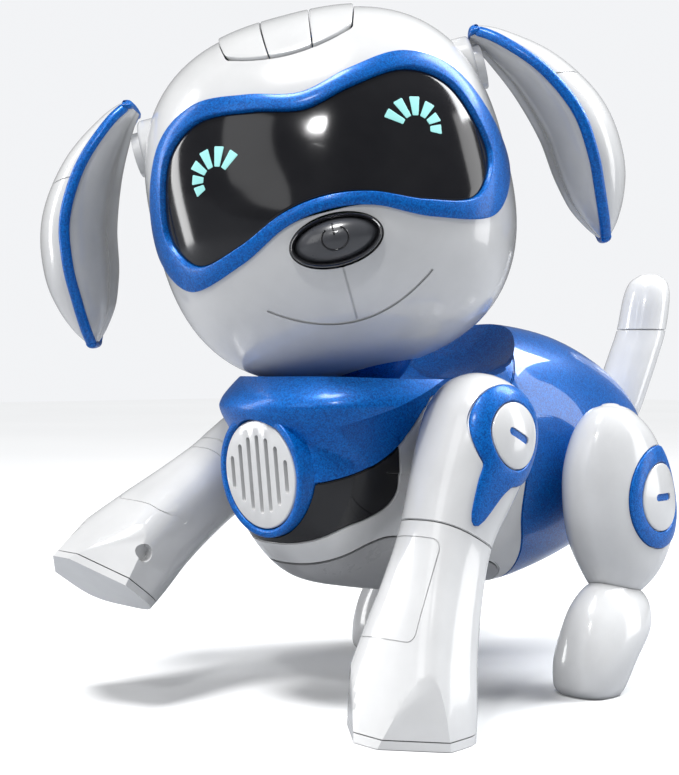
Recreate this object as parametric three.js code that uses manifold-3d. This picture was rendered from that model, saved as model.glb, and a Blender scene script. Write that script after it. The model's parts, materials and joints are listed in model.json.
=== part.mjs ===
import * as THREE from 'three';
import { mergeVertices } from 'three/addons/utils/BufferGeometryUtils.js';
import Module from 'manifold-3d';

const wasm = await Module();
wasm.setup();

// Millimetres. The dog looks along -Y, its left side is +X, up is +Z.
const SEAM = 0.3;              // gap left between neighbouring pieces
const WALL = 2.0;              // thickness of the moulded shells
const SLIVER = 0.1;            // detail finer than this is smoothed away

// Neck and head: the head turns about the neck and leans about a pivot inside it.
const NECK = { y: -51.3, pivotZ: 117, postRadius: 8, ball: 15.5 };
const HEAD = { width: 60, front: 54, back: 52, height: 60, lift: 51, turn: 45, lean: 14 };

// Front legs: shoulder axis, swing forward from straight down, outward splay.
const SHOULDER = { x: 45, y: -46, z: 88 };
const FRONT_SPLAY = 2;
const LEFT_SWING = 26;
const RIGHT_SWING = 63;
const KNEE = -34;
const SHAFT_RADIUS = 4;

// Rear legs and tail.
const HIP = { x: 47, y: 31, z: 65 };
const TAIL = { y: 85, z: 93, seam: 125, swing: 10 };

const COLOURS = {
  white: { color: '#e9ecf0', roughness: 0.25, metalness: 0.0 },
  grey: { color: '#b9bcc0', roughness: 0.35, metalness: 0.0 },
  blue: { color: '#0a5bb4', roughness: 0.35, metalness: 0.3 },
  black: { color: '#0b0c0e', roughness: 0.08, metalness: 0.0 },
  nose: { color: '#23262a', roughness: 0.3, metalness: 0.0 },
  light: { color: '#9fe8e0', roughness: 0.4, metalness: 0.0 },
  rubber: { color: '#2b2d30', roughness: 0.8, metalness: 0.0 },
  steel: { color: '#a8adb3', roughness: 0.35, metalness: 0.9 },
  board: { color: '#1f6b3a', roughness: 0.6, metalness: 0.0 },
  cell: { color: '#3a6ea8', roughness: 0.5, metalness: 0.0 },
};

// Facets: how finely round forms are divided.
const HEAD_ROWS = 11;
const HEAD_SIDES = 28;
const INNER_ROWS = 7;
const INNER_SIDES = 16;
const LIMB_SIDES = 18;
const LIMB_INNER_SIDES = 12;
const BODY_SIDES = 24;
const BODY_INNER_SIDES = 16;
const EAR_SIDES = 16;
const EAR_INNER_SIDES = 10;

const radians = THREE.MathUtils.degToRad;
const toy = new THREE.Group();

// ---------- solids ----------

function solid(geometry) {
  const bare = geometry.clone();
  bare.deleteAttribute('normal');
  bare.deleteAttribute('uv');
  const welded = mergeVertices(bare, 1e-4);
  return new wasm.Manifold(new wasm.Mesh({
    numProp: 3,
    vertProperties: new Float32Array(welded.attributes.position.array),
    triVerts: new Uint32Array(welded.index.array),
  }));
}

function geometryOf(shape) {
  const mesh = shape.getMesh();
  const geometry = new THREE.BufferGeometry();
  geometry.setAttribute('position', new THREE.BufferAttribute(new Float32Array(mesh.vertProperties), 3));
  geometry.setIndex(Array.from(mesh.triVerts));
  geometry.computeVertexNormals();
  return geometry;
}

function moved(shape, matrix) {
  return shape.transform(matrix.elements);
}

function movedTo(shape, x, y, z) {
  return shape.translate([x, y, z]);
}

// Closed skin through rings of points; both end rings are closed onto their middle.
function skin(rings) {
  const around = rings[0].length;
  const points = rings.flat();
  const middle = (ring) => ring.reduce((sum, p) => sum.add(p), new THREE.Vector3()).divideScalar(around);
  points.push(middle(rings[0]), middle(rings[rings.length - 1]));
  const faces = [];
  for (let r = 0; r < rings.length - 1; r += 1) {
    for (let k = 0; k < around; k += 1) {
      const a = r * around + k;
      const b = r * around + ((k + 1) % around);
      faces.push([a, b, b + around], [a, b + around, a + around]);
    }
  }
  const last = (rings.length - 1) * around;
  for (let k = 0; k < around; k += 1) {
    const next = (k + 1) % around;
    faces.push([points.length - 2, next, k], [points.length - 1, last + k, last + next]);
  }
  let volume = 0;
  for (const [a, b, c] of faces) {
    volume += points[a].dot(new THREE.Vector3().crossVectors(points[b], points[c]));
  }
  const geometry = new THREE.BufferGeometry();
  geometry.setAttribute('position', new THREE.Float32BufferAttribute(points.flatMap((p) => p.toArray()), 3));
  geometry.setIndex(faces.flatMap(([a, b, c]) => (volume > 0 ? [a, b, c] : [a, c, b])));
  return solid(geometry);
}

function ovalPoint(angle, halfWidth, halfHeight, power) {
  const c = Math.cos(angle);
  const s = Math.sin(angle);
  const scale = (Math.abs(c) ** power + Math.abs(s) ** power) ** (-1 / power);
  return [halfWidth * c * scale, halfHeight * s * scale];
}

// Values in between the given stations, along a smooth curve.
function smoothed(stations, steps) {
  const result = [];
  const last = stations.length - 1;
  for (let i = 0; i < last; i += 1) {
    const p = [stations[Math.max(i - 1, 0)], stations[i], stations[i + 1], stations[Math.min(i + 2, last)]];
    for (let s = 0; s < steps; s += 1) {
      const t = s / steps;
      result.push(p[1].map((value, n) => 0.5 * (2 * value + (p[2][n] - p[0][n]) * t
        + (2 * p[0][n] - 5 * value + 4 * p[2][n] - p[3][n]) * t * t
        + (3 * value - p[0][n] - 3 * p[2][n] + p[3][n]) * t * t * t)));
    }
  }
  result.push(stations[last]);
  return result;
}

// Loft up the Z axis. Station: [z, centre x, centre y, half width, half depth, power].
function loftZ(stations, around, inset = 0) {
  const mid = (stations[0][0] + stations[stations.length - 1][0]) / 2;
  const reach = Math.abs(stations[0][0] - mid);
  return skin(stations.map(([z, x, y, width, depth, power]) => Array.from({ length: around }, (_, k) => {
    const angle = (2 * Math.PI * k) / around;
    const [u, v] = ovalPoint(angle, Math.max(width - inset, 0.4), Math.max(depth - inset, 0.4), power);
    return new THREE.Vector3(x + u, y + v, mid + (z - mid) * (1 - inset / reach));
  })));
}

// Loft along the Y axis. Station: [y, centre z, half width, half height, power].
function loftY(stations, around, inset = 0) {
  const mid = (stations[0][0] + stations[stations.length - 1][0]) / 2;
  const reach = Math.abs(stations[0][0] - mid);
  return skin(stations.map(([y, z, width, height, power]) => Array.from({ length: around }, (_, k) => {
    const angle = (2 * Math.PI * k) / around;
    const [u, v] = ovalPoint(angle, Math.max(width - inset, 0.4), Math.max(height - inset, 0.4), power);
    return new THREE.Vector3(u, mid + (y - mid) * (1 - inset / reach), z + v);
  })));
}

function box(x0, x1, y0, y1, z0, z1) {
  const shape = solid(new THREE.BoxGeometry(x1 - x0, y1 - y0, z1 - z0));
  return movedTo(shape, (x0 + x1) / 2, (y0 + y1) / 2, (z0 + z1) / 2);
}

// Cylinder between two heights along one axis ('x', 'y' or 'z'), centred on the other two.
function rod(axis, from, to, radius, a, b, sides = 24) {
  const geometry = new THREE.CylinderGeometry(radius, radius, to - from, sides);
  const mid = (from + to) / 2;
  if (axis === 'x') {
    geometry.rotateZ(Math.PI / 2).translate(mid, a, b);
  } else if (axis === 'y') {
    geometry.translate(a, mid, b);
  } else {
    geometry.rotateX(Math.PI / 2).translate(a, b, mid);
  }
  return solid(geometry);
}

// Prism of an outline given in the (y, z) side view, running from x0 to x1.
function sidePrism(outline, x0, x1) {
  const shape = new THREE.Shape(outline.map(([y, z]) => new THREE.Vector2(y, z)));
  const geometry = new THREE.ExtrudeGeometry(shape, { depth: x1 - x0, bevelEnabled: false });
  const matrix = new THREE.Matrix4().makeBasis(
    new THREE.Vector3(0, 1, 0), new THREE.Vector3(0, 0, 1), new THREE.Vector3(1, 0, 0));
  return movedTo(solid(geometry.applyMatrix4(matrix)), x0, 0, 0);
}

// Prism of an outline given in the (x, z) front view, running from y0 to y1.
function frontPrism(outline, y0, y1) {
  const shape = new THREE.Shape(outline.map(([x, z]) => new THREE.Vector2(x, z)));
  const geometry = new THREE.ExtrudeGeometry(shape, { depth: y1 - y0, bevelEnabled: false });
  geometry.rotateX(Math.PI / 2);
  return movedTo(solid(geometry), 0, y1, 0);
}

// Flat ribbon of the given width along a line of points, as an outline.
function ribbon(line, width) {
  const left = [];
  const right = [];
  line.forEach((point, i) => {
    const a = line[Math.max(i - 1, 0)];
    const b = line[Math.min(i + 1, line.length - 1)];
    const length = Math.hypot(b[0] - a[0], b[1] - a[1]);
    const normal = [(a[1] - b[1]) / length, (b[0] - a[0]) / length];
    left.push([point[0] + normal[0] * width / 2, point[1] + normal[1] * width / 2]);
    right.unshift([point[0] - normal[0] * width / 2, point[1] - normal[1] * width / 2]);
  });
  return left.concat(right);
}

// The biggest connected body; a cut can leave thin slivers beside it.
function mainBody(shape) {
  const bodies = shape.decompose();
  return bodies.reduce((best, body) => (body.volume() > best.volume() ? body : best));
}

function joined(shapes) {
  return shapes.reduce((sum, shape) => sum.add(shape));
}

function addPiece(name, shape, look, matrix) {
  const clean = mainBody(shape.simplify(SLIVER));
  const placed = matrix ? moved(clean, matrix) : clean;
  const mesh = new THREE.Mesh(geometryOf(placed), new THREE.MeshStandardMaterial(COLOURS[look]));
  mesh.name = name;
  toy.add(mesh);
}

// ---------- head ----------

const HEAD_POWER = 2.6;
const DEPTH_POWER = 2.2;
const MUZZLE = { drop: -0.32, spread: 0.42, size: 4.5 };

function headRadius(direction) {
  const depth = direction.y < 0 ? HEAD.front : HEAD.back;
  const across = Math.abs(direction.x / HEAD.width) ** HEAD_POWER
    + Math.abs(direction.z / HEAD.height) ** HEAD_POWER;
  const level = across ** (DEPTH_POWER / HEAD_POWER) + Math.abs(direction.y / depth) ** DEPTH_POWER;
  const away = (direction.x ** 2 + (direction.z - MUZZLE.drop) ** 2) / MUZZLE.spread ** 2;
  const bulge = direction.y < 0 ? MUZZLE.size * Math.exp(-away) : 0;
  return level ** (-1 / DEPTH_POWER) + bulge;
}

function headDirection(polar, roll) {
  return new THREE.Vector3(
    Math.sin(polar) * Math.cos(roll), -Math.cos(polar), Math.sin(polar) * Math.sin(roll));
}

function headSolid(offset, rows, around) {
  const rings = [];
  for (let r = 1; r < rows; r += 1) {
    rings.push(Array.from({ length: around }, (_, k) => {
      const direction = headDirection((Math.PI * r) / rows, (2 * Math.PI * k) / around);
      return direction.clone().multiplyScalar(headRadius(direction) + offset);
    }));
  }
  return skin(rings);
}

// Point of the head's surface seen at (x, z) from straight ahead.
function facePoint(x, z) {
  const across = Math.abs(x / HEAD.width) ** HEAD_POWER + Math.abs(z / HEAD.height) ** HEAD_POWER;
  const left = Math.max(1 - across ** (DEPTH_POWER / HEAD_POWER), 0.0004);
  return new THREE.Vector3(x, -HEAD.front * left ** (1 / DEPTH_POWER), z);
}

// Cone from the middle of the head out through a ring of points.
function headCone(ring, grow = 0) {
  const centre = ring.reduce((sum, p) => sum.add(p), new THREE.Vector3()).divideScalar(ring.length);
  const wide = ring.map((p) => {
    const outward = p.clone().sub(centre).normalize().multiplyScalar(grow);
    return p.clone().add(outward).normalize().multiplyScalar(110);
  });
  const tip = ring.map((p) => p.clone().normalize().multiplyScalar(0.5));
  return skin([tip, wide]);
}

// Half outline (x >= 0, from the top middle to the bottom middle) turned into a full smooth ring.
function mirroredOutline(half, steps) {
  const right = smoothed(half, steps);
  const left = right.slice(1, -1).reverse().map(([x, z]) => [-x, z]);
  return right.concat(left);
}

// Half outlines of the visor's frame and glass in the front view, top middle to bottom middle.
const BEZEL_OUTLINE = [
  [0, 26], [16, 30], [33, 32.5], [47.5, 25], [57, 6], [57.6, -9], [48, -22], [29, -19], [13, -12], [0, -10],
];
const GLASS_OUTLINE = [
  [0, 21.2], [16, 24.8], [33, 27], [45.5, 20], [51.8, 4],
  [51.4, -7], [43.5, -16], [28, -13.6], [13, -8], [0, -6.2],
];
const bezelRing = mirroredOutline(BEZEL_OUTLINE, 2).map(([x, z]) => facePoint(x, z));
const glassRing = mirroredOutline(GLASS_OUTLINE, 2).map(([x, z]) => facePoint(x, z));

const VISOR = { proud: 1.0, sunk: 0.5, depth: WALL + 0.6 };
const NOSE = { x: 14, z: 7.6, height: -20, depth: 6.5, sunk: 3.2, stemGap: 2.7 };
const EYE = { x: 31.5, z: 7.5, guides: 6, fanStart: -8, fanSweep: 150, inside: 4.4, outside: 9.2, half: 1.5 };
const MOUTH = { half: 26, low: -44, rise: 9.5, width: 0.7, depth: 0.7 };
const BUTTONS = { half: 20, split: 6.8, front: 40, curve: 4.5, back: 12, proud: 0.8, play: 0.5 };
const EAR_BOSS = { y: 0, z: 30, x: 47, radius: 11, from: 40, to: 57, stepRadius: 7.5, stepTo: 60 };
const HEAD_SPLIT_Y = 3;
const REAR_PANEL = { start: -7, x: 38, y: 20, tilt: -30, z: 27, height: 30 };

const headSpin = new THREE.Matrix4()
  .makeTranslation(0, NECK.y, NECK.pivotZ)
  .multiply(new THREE.Matrix4().makeRotationZ(radians(HEAD.turn)))
  .multiply(new THREE.Matrix4().makeRotationY(radians(-HEAD.lean)))
  .multiply(new THREE.Matrix4().makeTranslation(0, 0, HEAD.lift));

function buildHead() {
  const outer = headSolid(0, HEAD_ROWS, HEAD_SIDES);
  const inner = headSolid(-WALL, INNER_ROWS, INNER_SIDES);
  let shell = outer.subtract(inner);

  // Visor: a raised frame round a slightly sunken glass.
  const behindVisor = headSolid(-VISOR.depth, INNER_ROWS, INNER_SIDES);
  const lit = headSolid(-VISOR.sunk, HEAD_ROWS, HEAD_SIDES);
  const frame = headSolid(VISOR.proud, HEAD_ROWS, HEAD_SIDES).subtract(behindVisor);
  shell = shell.subtract(headCone(bezelRing, SEAM));
  const bezel = frame.intersect(headCone(bezelRing)).subtract(headCone(glassRing));
  addPiece('visor_bezel', bezel, 'blue', headSpin);

  // Short light guides fan out over each eye from a plate behind the glass; the fans lean outwards.
  let glass = lit.subtract(behindVisor).intersect(headCone(glassRing, -SEAM));
  const behindGlass = headSolid(-VISOR.depth - 1, INNER_ROWS, INNER_SIDES);
  for (const [side, name] of [[1, 'left'], [-1, 'right']]) {
    const guides = [];
    const holes = [];
    for (let k = 0; k < EYE.guides; k += 1) {
      const middle = radians(EYE.fanStart + (EYE.fanSweep * k) / (EYE.guides - 1));
      const wedge = (inside, outside, spread) => [
        [inside, -spread * 0.6], [outside, -spread], [outside, spread], [inside, spread * 0.6],
      ].map(([reach, turn]) => [
        side * (EYE.x + reach * Math.cos(middle) - turn * Math.sin(middle)),
        EYE.z + reach * Math.sin(middle) + turn * Math.cos(middle),
      ]);
      guides.push(frontPrism(wedge(EYE.inside, EYE.outside, EYE.half), -60, -31.5));
      holes.push(frontPrism(wedge(EYE.inside - SEAM, EYE.outside + SEAM, EYE.half + SEAM), -60, -25));
    }
    glass = glass.subtract(joined(holes));
    const plate = box(side * EYE.x - 9, side * EYE.x + 9, -32, -30, EYE.z - 4, EYE.z + 10);
    const lights = joined(guides).intersect(lit).add(plate.intersect(behindGlass));
    addPiece(`${name}_eye_lights`, lights, 'light', headSpin);
  }
  addPiece('visor_glass', glass, 'black', headSpin);

  // Nose: a domed button on a stem, in an oval hole.
  const noseDome = new THREE.SphereGeometry(1, 20, 9).scale(NOSE.x, NOSE.depth, NOSE.z);
  const noseHole = rod('y', -70, -40, 1, 0, 0, 20).scale([NOSE.x + SEAM, 1, NOSE.z + SEAM]);
  const noseStem = rod('y', -58, -44, 1, 0, 0, 14).scale([NOSE.x - NOSE.stemGap, 1, NOSE.z - NOSE.stemGap]);
  const noseFront = facePoint(0, NOSE.height).y - NOSE.sunk;
  shell = shell.subtract(movedTo(noseHole, 0, 0, NOSE.height));
  addPiece('nose_button', movedTo(solid(noseDome), 0, noseFront, NOSE.height)
    .add(movedTo(noseStem, 0, 0, NOSE.height)), 'nose', headSpin);

  // Mouth: a shallow smile and a line from the nose down to it.
  const smile = [];
  for (let k = 0; k <= 6; k += 1) {
    const x = MOUTH.half * (k / 3 - 1);
    smile.push([x, MOUTH.low + MOUTH.rise * (x / MOUTH.half) ** 2]);
  }
  const mouthFloor = headSolid(-MOUTH.depth, HEAD_ROWS, HEAD_SIDES);
  const dropLine = [[0, NOSE.height - NOSE.z + SEAM], [0, MOUTH.low]];
  const mouth = frontPrism(ribbon(smile, MOUTH.width), -70, -20)
    .add(frontPrism(ribbon(dropLine, MOUTH.width), -70, -20));
  shell = shell.subtract(mouth.subtract(mouthFloor));

  // Touch buttons: three curved plates side by side on top of the head.
  const plates = headSolid(BUTTONS.proud, HEAD_ROWS, HEAD_SIDES).subtract(inner);
  const topPoint = (x, back) => (back
    ? new THREE.Vector3(x, BUTTONS.back, HEAD.height - 3)
    : facePoint(x, BUTTONS.front + BUTTONS.curve * (x / BUTTONS.half) ** 2));
  const row = (x0, x1) => {
    const list = [];
    for (let k = 0; k <= 3; k += 1) {
      list.push(topPoint(x0 + ((x1 - x0) * k) / 3, false));
    }
    for (let k = 3; k >= 0; k -= 1) {
      list.push(topPoint(x0 + ((x1 - x0) * k) / 3, true));
    }
    return list;
  };
  const columns = [
    ['touch_button_right', -BUTTONS.half, -BUTTONS.split],
    ['touch_button_middle', -BUTTONS.split, BUTTONS.split],
    ['touch_button_left', BUTTONS.split, BUTTONS.half],
  ];
  for (const [name, x0, x1] of columns) {
    const outline = row(x0 + SEAM, x1 - SEAM);
    addPiece(name, plates.intersect(headCone(outline)), 'white', headSpin);
    shell = shell.subtract(headCone(outline, SEAM + BUTTONS.play));
  }

  // Ear bosses: short white drums on both sides, stepped down to the ear.
  for (const [side, name] of [[1, 'left'], [-1, 'right']]) {
    const drum = rod('x', EAR_BOSS.from, EAR_BOSS.to, EAR_BOSS.radius, EAR_BOSS.y, EAR_BOSS.z, 20);
    const hole = rod('x', 30, 70, EAR_BOSS.radius + SEAM, EAR_BOSS.y, EAR_BOSS.z, 20);
    const step = rod('x', EAR_BOSS.from, EAR_BOSS.stepTo, EAR_BOSS.stepRadius, EAR_BOSS.y, EAR_BOSS.z, 16);
    const flip = new THREE.Matrix4().makeScale(side, 1, 1);
    addPiece(`${name}_ear_boss`, moved(drum.add(step), flip), 'white', headSpin);
    shell = shell.subtract(moved(hole, flip));
  }

  // Neck hole, then the shell parts into face, rear and the blue panel over the back.
  shell = shell.subtract(rod('z', -80, -20, NECK.ball + 1, 0, 0, 20));
  const panelRing = [];
  for (let k = 0; k < 16; k += 1) {
    const angle = (2 * Math.PI * k) / 16;
    panelRing.push(new THREE.Vector3(
      REAR_PANEL.x * Math.cos(angle),
      REAR_PANEL.y + REAR_PANEL.tilt * Math.sin(angle),
      REAR_PANEL.z + REAR_PANEL.height * Math.sin(angle)));
  }
  const rearOf = (y) => box(-90, 90, y, 90, -90, 90);
  const panelZone = headCone(panelRing).intersect(rearOf(REAR_PANEL.start));
  const panelHole = headCone(panelRing, SEAM).intersect(rearOf(REAR_PANEL.start - SEAM));
  addPiece('head_rear_panel', shell.intersect(panelZone), 'blue', headSpin);
  const white = shell.subtract(panelHole);
  addPiece('head_face_shell', white.subtract(rearOf(HEAD_SPLIT_Y)), 'white', headSpin);
  addPiece('head_rear_shell', white.intersect(rearOf(HEAD_SPLIT_Y + SEAM)), 'white', headSpin);
}

// ---------- ears ----------

// Station: [centre x, centre z, half thickness, half depth, centre y].
const EAR_STATIONS = [
  [59, 41, 3.2, 7, 0], [66, 35, 6, 13, 2], [76.5, 22, 10.2, 21, 6], [84, 6, 13, 25, 9],
  [86, -9, 13.2, 24, 10], [86, -21, 10.6, 18, 9], [86, -30, 6, 10, 7], [86, -35.5, 1.4, 3, 6],
];
const RIGHT_EAR_FLARE = 5;
const EAR_WALL = 1.8;
const EAR_RIM = { width: 2.4, proud: 0.8 };

function earSolid(inset, around) {
  const last = EAR_STATIONS.length - 1;
  return skin(EAR_STATIONS.map(([x, z, thick, deep, y], i) => {
    const a = EAR_STATIONS[Math.max(i - 1, 0)];
    const b = EAR_STATIONS[Math.min(i + 1, last)];
    const length = Math.hypot(b[0] - a[0], b[1] - a[1]);
    const outward = [(a[1] - b[1]) / length, (b[0] - a[0]) / length];
    const endShift = { 0: inset, [last]: -inset }[i] ?? 0;
    return Array.from({ length: around }, (_, k) => {
      const angle = (2 * Math.PI * k) / around;
      const [u, v] = ovalPoint(angle, Math.max(thick - inset, 0.3), Math.max(deep - inset, 0.5), 1.9);
      return new THREE.Vector3(
        x + outward[0] * u + ((b[0] - a[0]) / length) * endShift, y + v,
        z + outward[1] * u + ((b[1] - a[1]) / length) * endShift);
    });
  }));
}

// Each ear is a white cup outside, a grey lining towards the head and a blue rim between them.
function buildEars() {
  const spine = EAR_STATIONS.map(([x, z]) => [x, z]);
  spine.unshift([50, 47]);
  spine.push([85, -45]);
  const outerZone = frontPrism(spine.concat([[130, -45], [130, 60], [50, 60]]), -60, 80);
  const rimSlab = frontPrism(ribbon(spine, EAR_RIM.width), -60, 80);
  const rimGap = frontPrism(ribbon(spine, EAR_RIM.width + 2 * SEAM), -60, 80);
  const rim = earSolid(-EAR_RIM.proud, EAR_SIDES).intersect(rimSlab);
  const cup = earSolid(0, EAR_SIDES).subtract(earSolid(EAR_WALL, EAR_INNER_SIDES)).subtract(rimGap);
  const bossGap = rod('x', 30, EAR_BOSS.stepTo + 0.5, EAR_BOSS.radius + 0.5, EAR_BOSS.y, EAR_BOSS.z, 16);
  const headGap = headSolid(0.8, INNER_ROWS, INNER_SIDES);
  for (const [side, name] of [[1, 'left'], [-1, 'right']]) {
    const flip = new THREE.Matrix4().makeScale(side, 1, 1);
    const flare = new THREE.Matrix4().makeTranslation(EAR_BOSS.x, 0, EAR_BOSS.z)
      .multiply(new THREE.Matrix4().makeRotationY(side < 0 ? radians(-RIGHT_EAR_FLARE) : 0))
      .multiply(new THREE.Matrix4().makeTranslation(-EAR_BOSS.x, 0, -EAR_BOSS.z));
    const place = headSpin.clone().multiply(flip);
    const trim = (shape) => moved(shape, flare).subtract(bossGap).subtract(headGap);
    addPiece(`${name}_ear_outer`, trim(cup.intersect(outerZone)), 'white', place);
    addPiece(`${name}_ear_inner`, trim(cup.subtract(outerZone)), 'grey', place);
    addPiece(`${name}_ear_rim`, trim(rim), 'blue', place);
  }
}

// ---------- torso ----------

// Station: [y, centre z, half width, half height, power].
const CORE_STATIONS = [
  [-94.5, 77, 17, 19, 2.1], [-91, 77, 21.5, 26, 2.2], [-80, 76.5, 25.4, 35, 2.3], [-62, 76, 26, 39, 2.4],
  [-42, 76, 26, 42, 2.4], [-26, 77, 28, 44, 2.4], [-12, 78.5, 33, 45.5, 2.4], [5, 79.5, 33, 46, 2.4],
  [30, 80.5, 32, 42, 2.3], [52, 80.5, 29, 35, 2.2], [70, 81, 23, 25.5, 2.1], [82, 82, 15, 15, 2.0],
  [87, 82.5, 7, 7, 2.0],
];

// Station of the cape round the neck: [z, centre x, centre y, half width, half depth, power].
const CAPE_STATIONS = [
  [62, 0, -62, 17, 30, 2.2], [74, 0, -60, 25, 35.5, 2.2], [86, 0, -56, 34, 42.5, 2.2],
  [95, 0, -52.5, 42, 49.5, 2.2], [99, 0, -51, 43.5, 50.5, 2.2], [104, 0, -49, 42, 48, 2.2],
  [110, 0, -46, 38.5, 44.5, 2.2], [116, 0, -42, 35, 42, 2.2], [122, 0, -34, 26, 32, 2.2],
];

// Clearance round a front leg through its whole swing, on both sides of the chest.
const WELL = { radius: 20.6, inner: 26.6, swing: 66 };

function wellSolid(extra) {
  const radius = WELL.radius + extra;
  const outline = [];
  const steps = 8;
  const start = 180 - WELL.swing;
  for (let k = 0; k <= steps; k += 1) {
    const angle = radians(start * (1 - k / steps));
    outline.push([SHOULDER.y + radius * Math.cos(angle), SHOULDER.z + radius * Math.sin(angle)]);
  }
  const reach = 120;
  const ahead = [
    outline[0][0] - reach * Math.sin(radians(WELL.swing)),
    outline[0][1] - reach * Math.cos(radians(WELL.swing)),
  ];
  outline.push([SHOULDER.y + radius, -10], [ahead[0], -10], ahead);
  const half = sidePrism(outline, WELL.inner - extra, 95);
  return half.add(moved(half, new THREE.Matrix4().makeScale(-1, 1, 1)));
}

// Hollow under the head: [radius, height] from the neck outwards, open at the top.
const BOWL_TOP = 170;

function bowlSolid(extra) {
  const profile = [
    [0, 103.5], [30, 103.5], [42, 106], [50, 111], [54, 117], [57, 122], [60, 129],
    [61, BOWL_TOP], [0, BOWL_TOP],
  ].map(([r, z]) => new THREE.Vector2(r === 0 ? 0 : r + extra, z === BOWL_TOP ? z : z - extra));
  const geometry = new THREE.LatheGeometry(profile, 24).rotateX(Math.PI / 2);
  return movedTo(solid(geometry), 0, NECK.y, 0);
}

function torsoShell() {
  const outside = loftY(CORE_STATIONS, BODY_SIDES).add(loftZ(CAPE_STATIONS, BODY_SIDES))
    .subtract(wellSolid(0)).subtract(bowlSolid(0));
  const inside = loftY(CORE_STATIONS, BODY_INNER_SIDES, WALL)
    .add(loftZ(CAPE_STATIONS, BODY_INNER_SIDES, WALL))
    .subtract(wellSolid(WALL)).subtract(bowlSolid(WALL));
  return outside.subtract(inside);
}

// Lines of the side view where one torso moulding ends and the next begins.
const BIB_LINE = [
  [-120, 73], [-96, 73.5], [-86, 75], [-74, 78.5], [-64, 83.5], [-57, 89.5], [-50, 97], [-44, 101],
  [-16, 101.5], [-4, 118], [4, 140],
];
const BACK_LINE = [[4, 140], [-4, 118], [-16, 101.5], [-10, 90], [-8, 78], [-9, 60], [-3, 45], [4, 25]];
const PANEL_LINE = [
  [-120, 53], [-97, 53.5], [-90, 55.5], [-82, 60], [-74, 62.5], [-67, 65.5],
  [-62.8, 70], [-62, 76], [-62.4, 84.6],
];
const TRIM_LINE = [
  [-120, 45], [-98, 46], [-88, 47], [-80, 50], [-70, 54.5], [-60, 55.5],
  [-40, 52], [-24, 46], [-9, 40], [4, 25],
];
const PANEL_END_Y = -63;

// The grille disc sits in a ring of the collar that is tipped a little downwards.
const GRILLE = { y: -96, z: 76, radius: 17.6, ring: 20.2, back: 7, tip: 6 };
const SLOTS = { each: 3, pitch: 4.4, half: 0.9, long: 12.5, shorter: 0.8 };
const SPEAKER = { front: 3.2, rim: 9, back: 15, radius: 14, magnet: 7 };

// Under the body: the battery door with its screw, and the power switch ahead of it.
const DOOR = { x: 17, y0: 4, y1: 46, top: 47 };
const SCREW = { y: 40, radius: 2.2, low: 38.6, high: 50 };
const SWITCH = { y: -30, slotX: 5.5, slotY: 3, knobX: 2.5, knobY: 2.4, low: 32.6 };
const SWITCH_PLATE = { x: 8, y: 5, low: 38.5, high: 41 };

function tipped(shape) {
  return moved(shape, new THREE.Matrix4().makeTranslation(0, GRILLE.y, GRILLE.z)
    .multiply(new THREE.Matrix4().makeRotationX(radians(GRILLE.tip))));
}

function buildGrille() {
  const slots = [];
  for (let k = -SLOTS.each; k <= SLOTS.each; k += 1) {
    const half = SLOTS.long - SLOTS.shorter * k * k;
    slots.push(box(SLOTS.pitch * k - SLOTS.half, SLOTS.pitch * k + SLOTS.half, -10, 10, -half, half));
  }
  const disc = rod('y', -1.6, 1.2, GRILLE.radius, 0, 0, 28).subtract(joined(slots));
  const magnet = rod('y', SPEAKER.rim, SPEAKER.back, SPEAKER.magnet, 0, 0, 24);
  addPiece('speaker_grille', tipped(disc), 'white');
  const rim = rod('y', SPEAKER.front, SPEAKER.rim, SPEAKER.radius, 0, 0, 28);
  addPiece('speaker', tipped(rim.add(magnet)), 'rubber');
}

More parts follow.
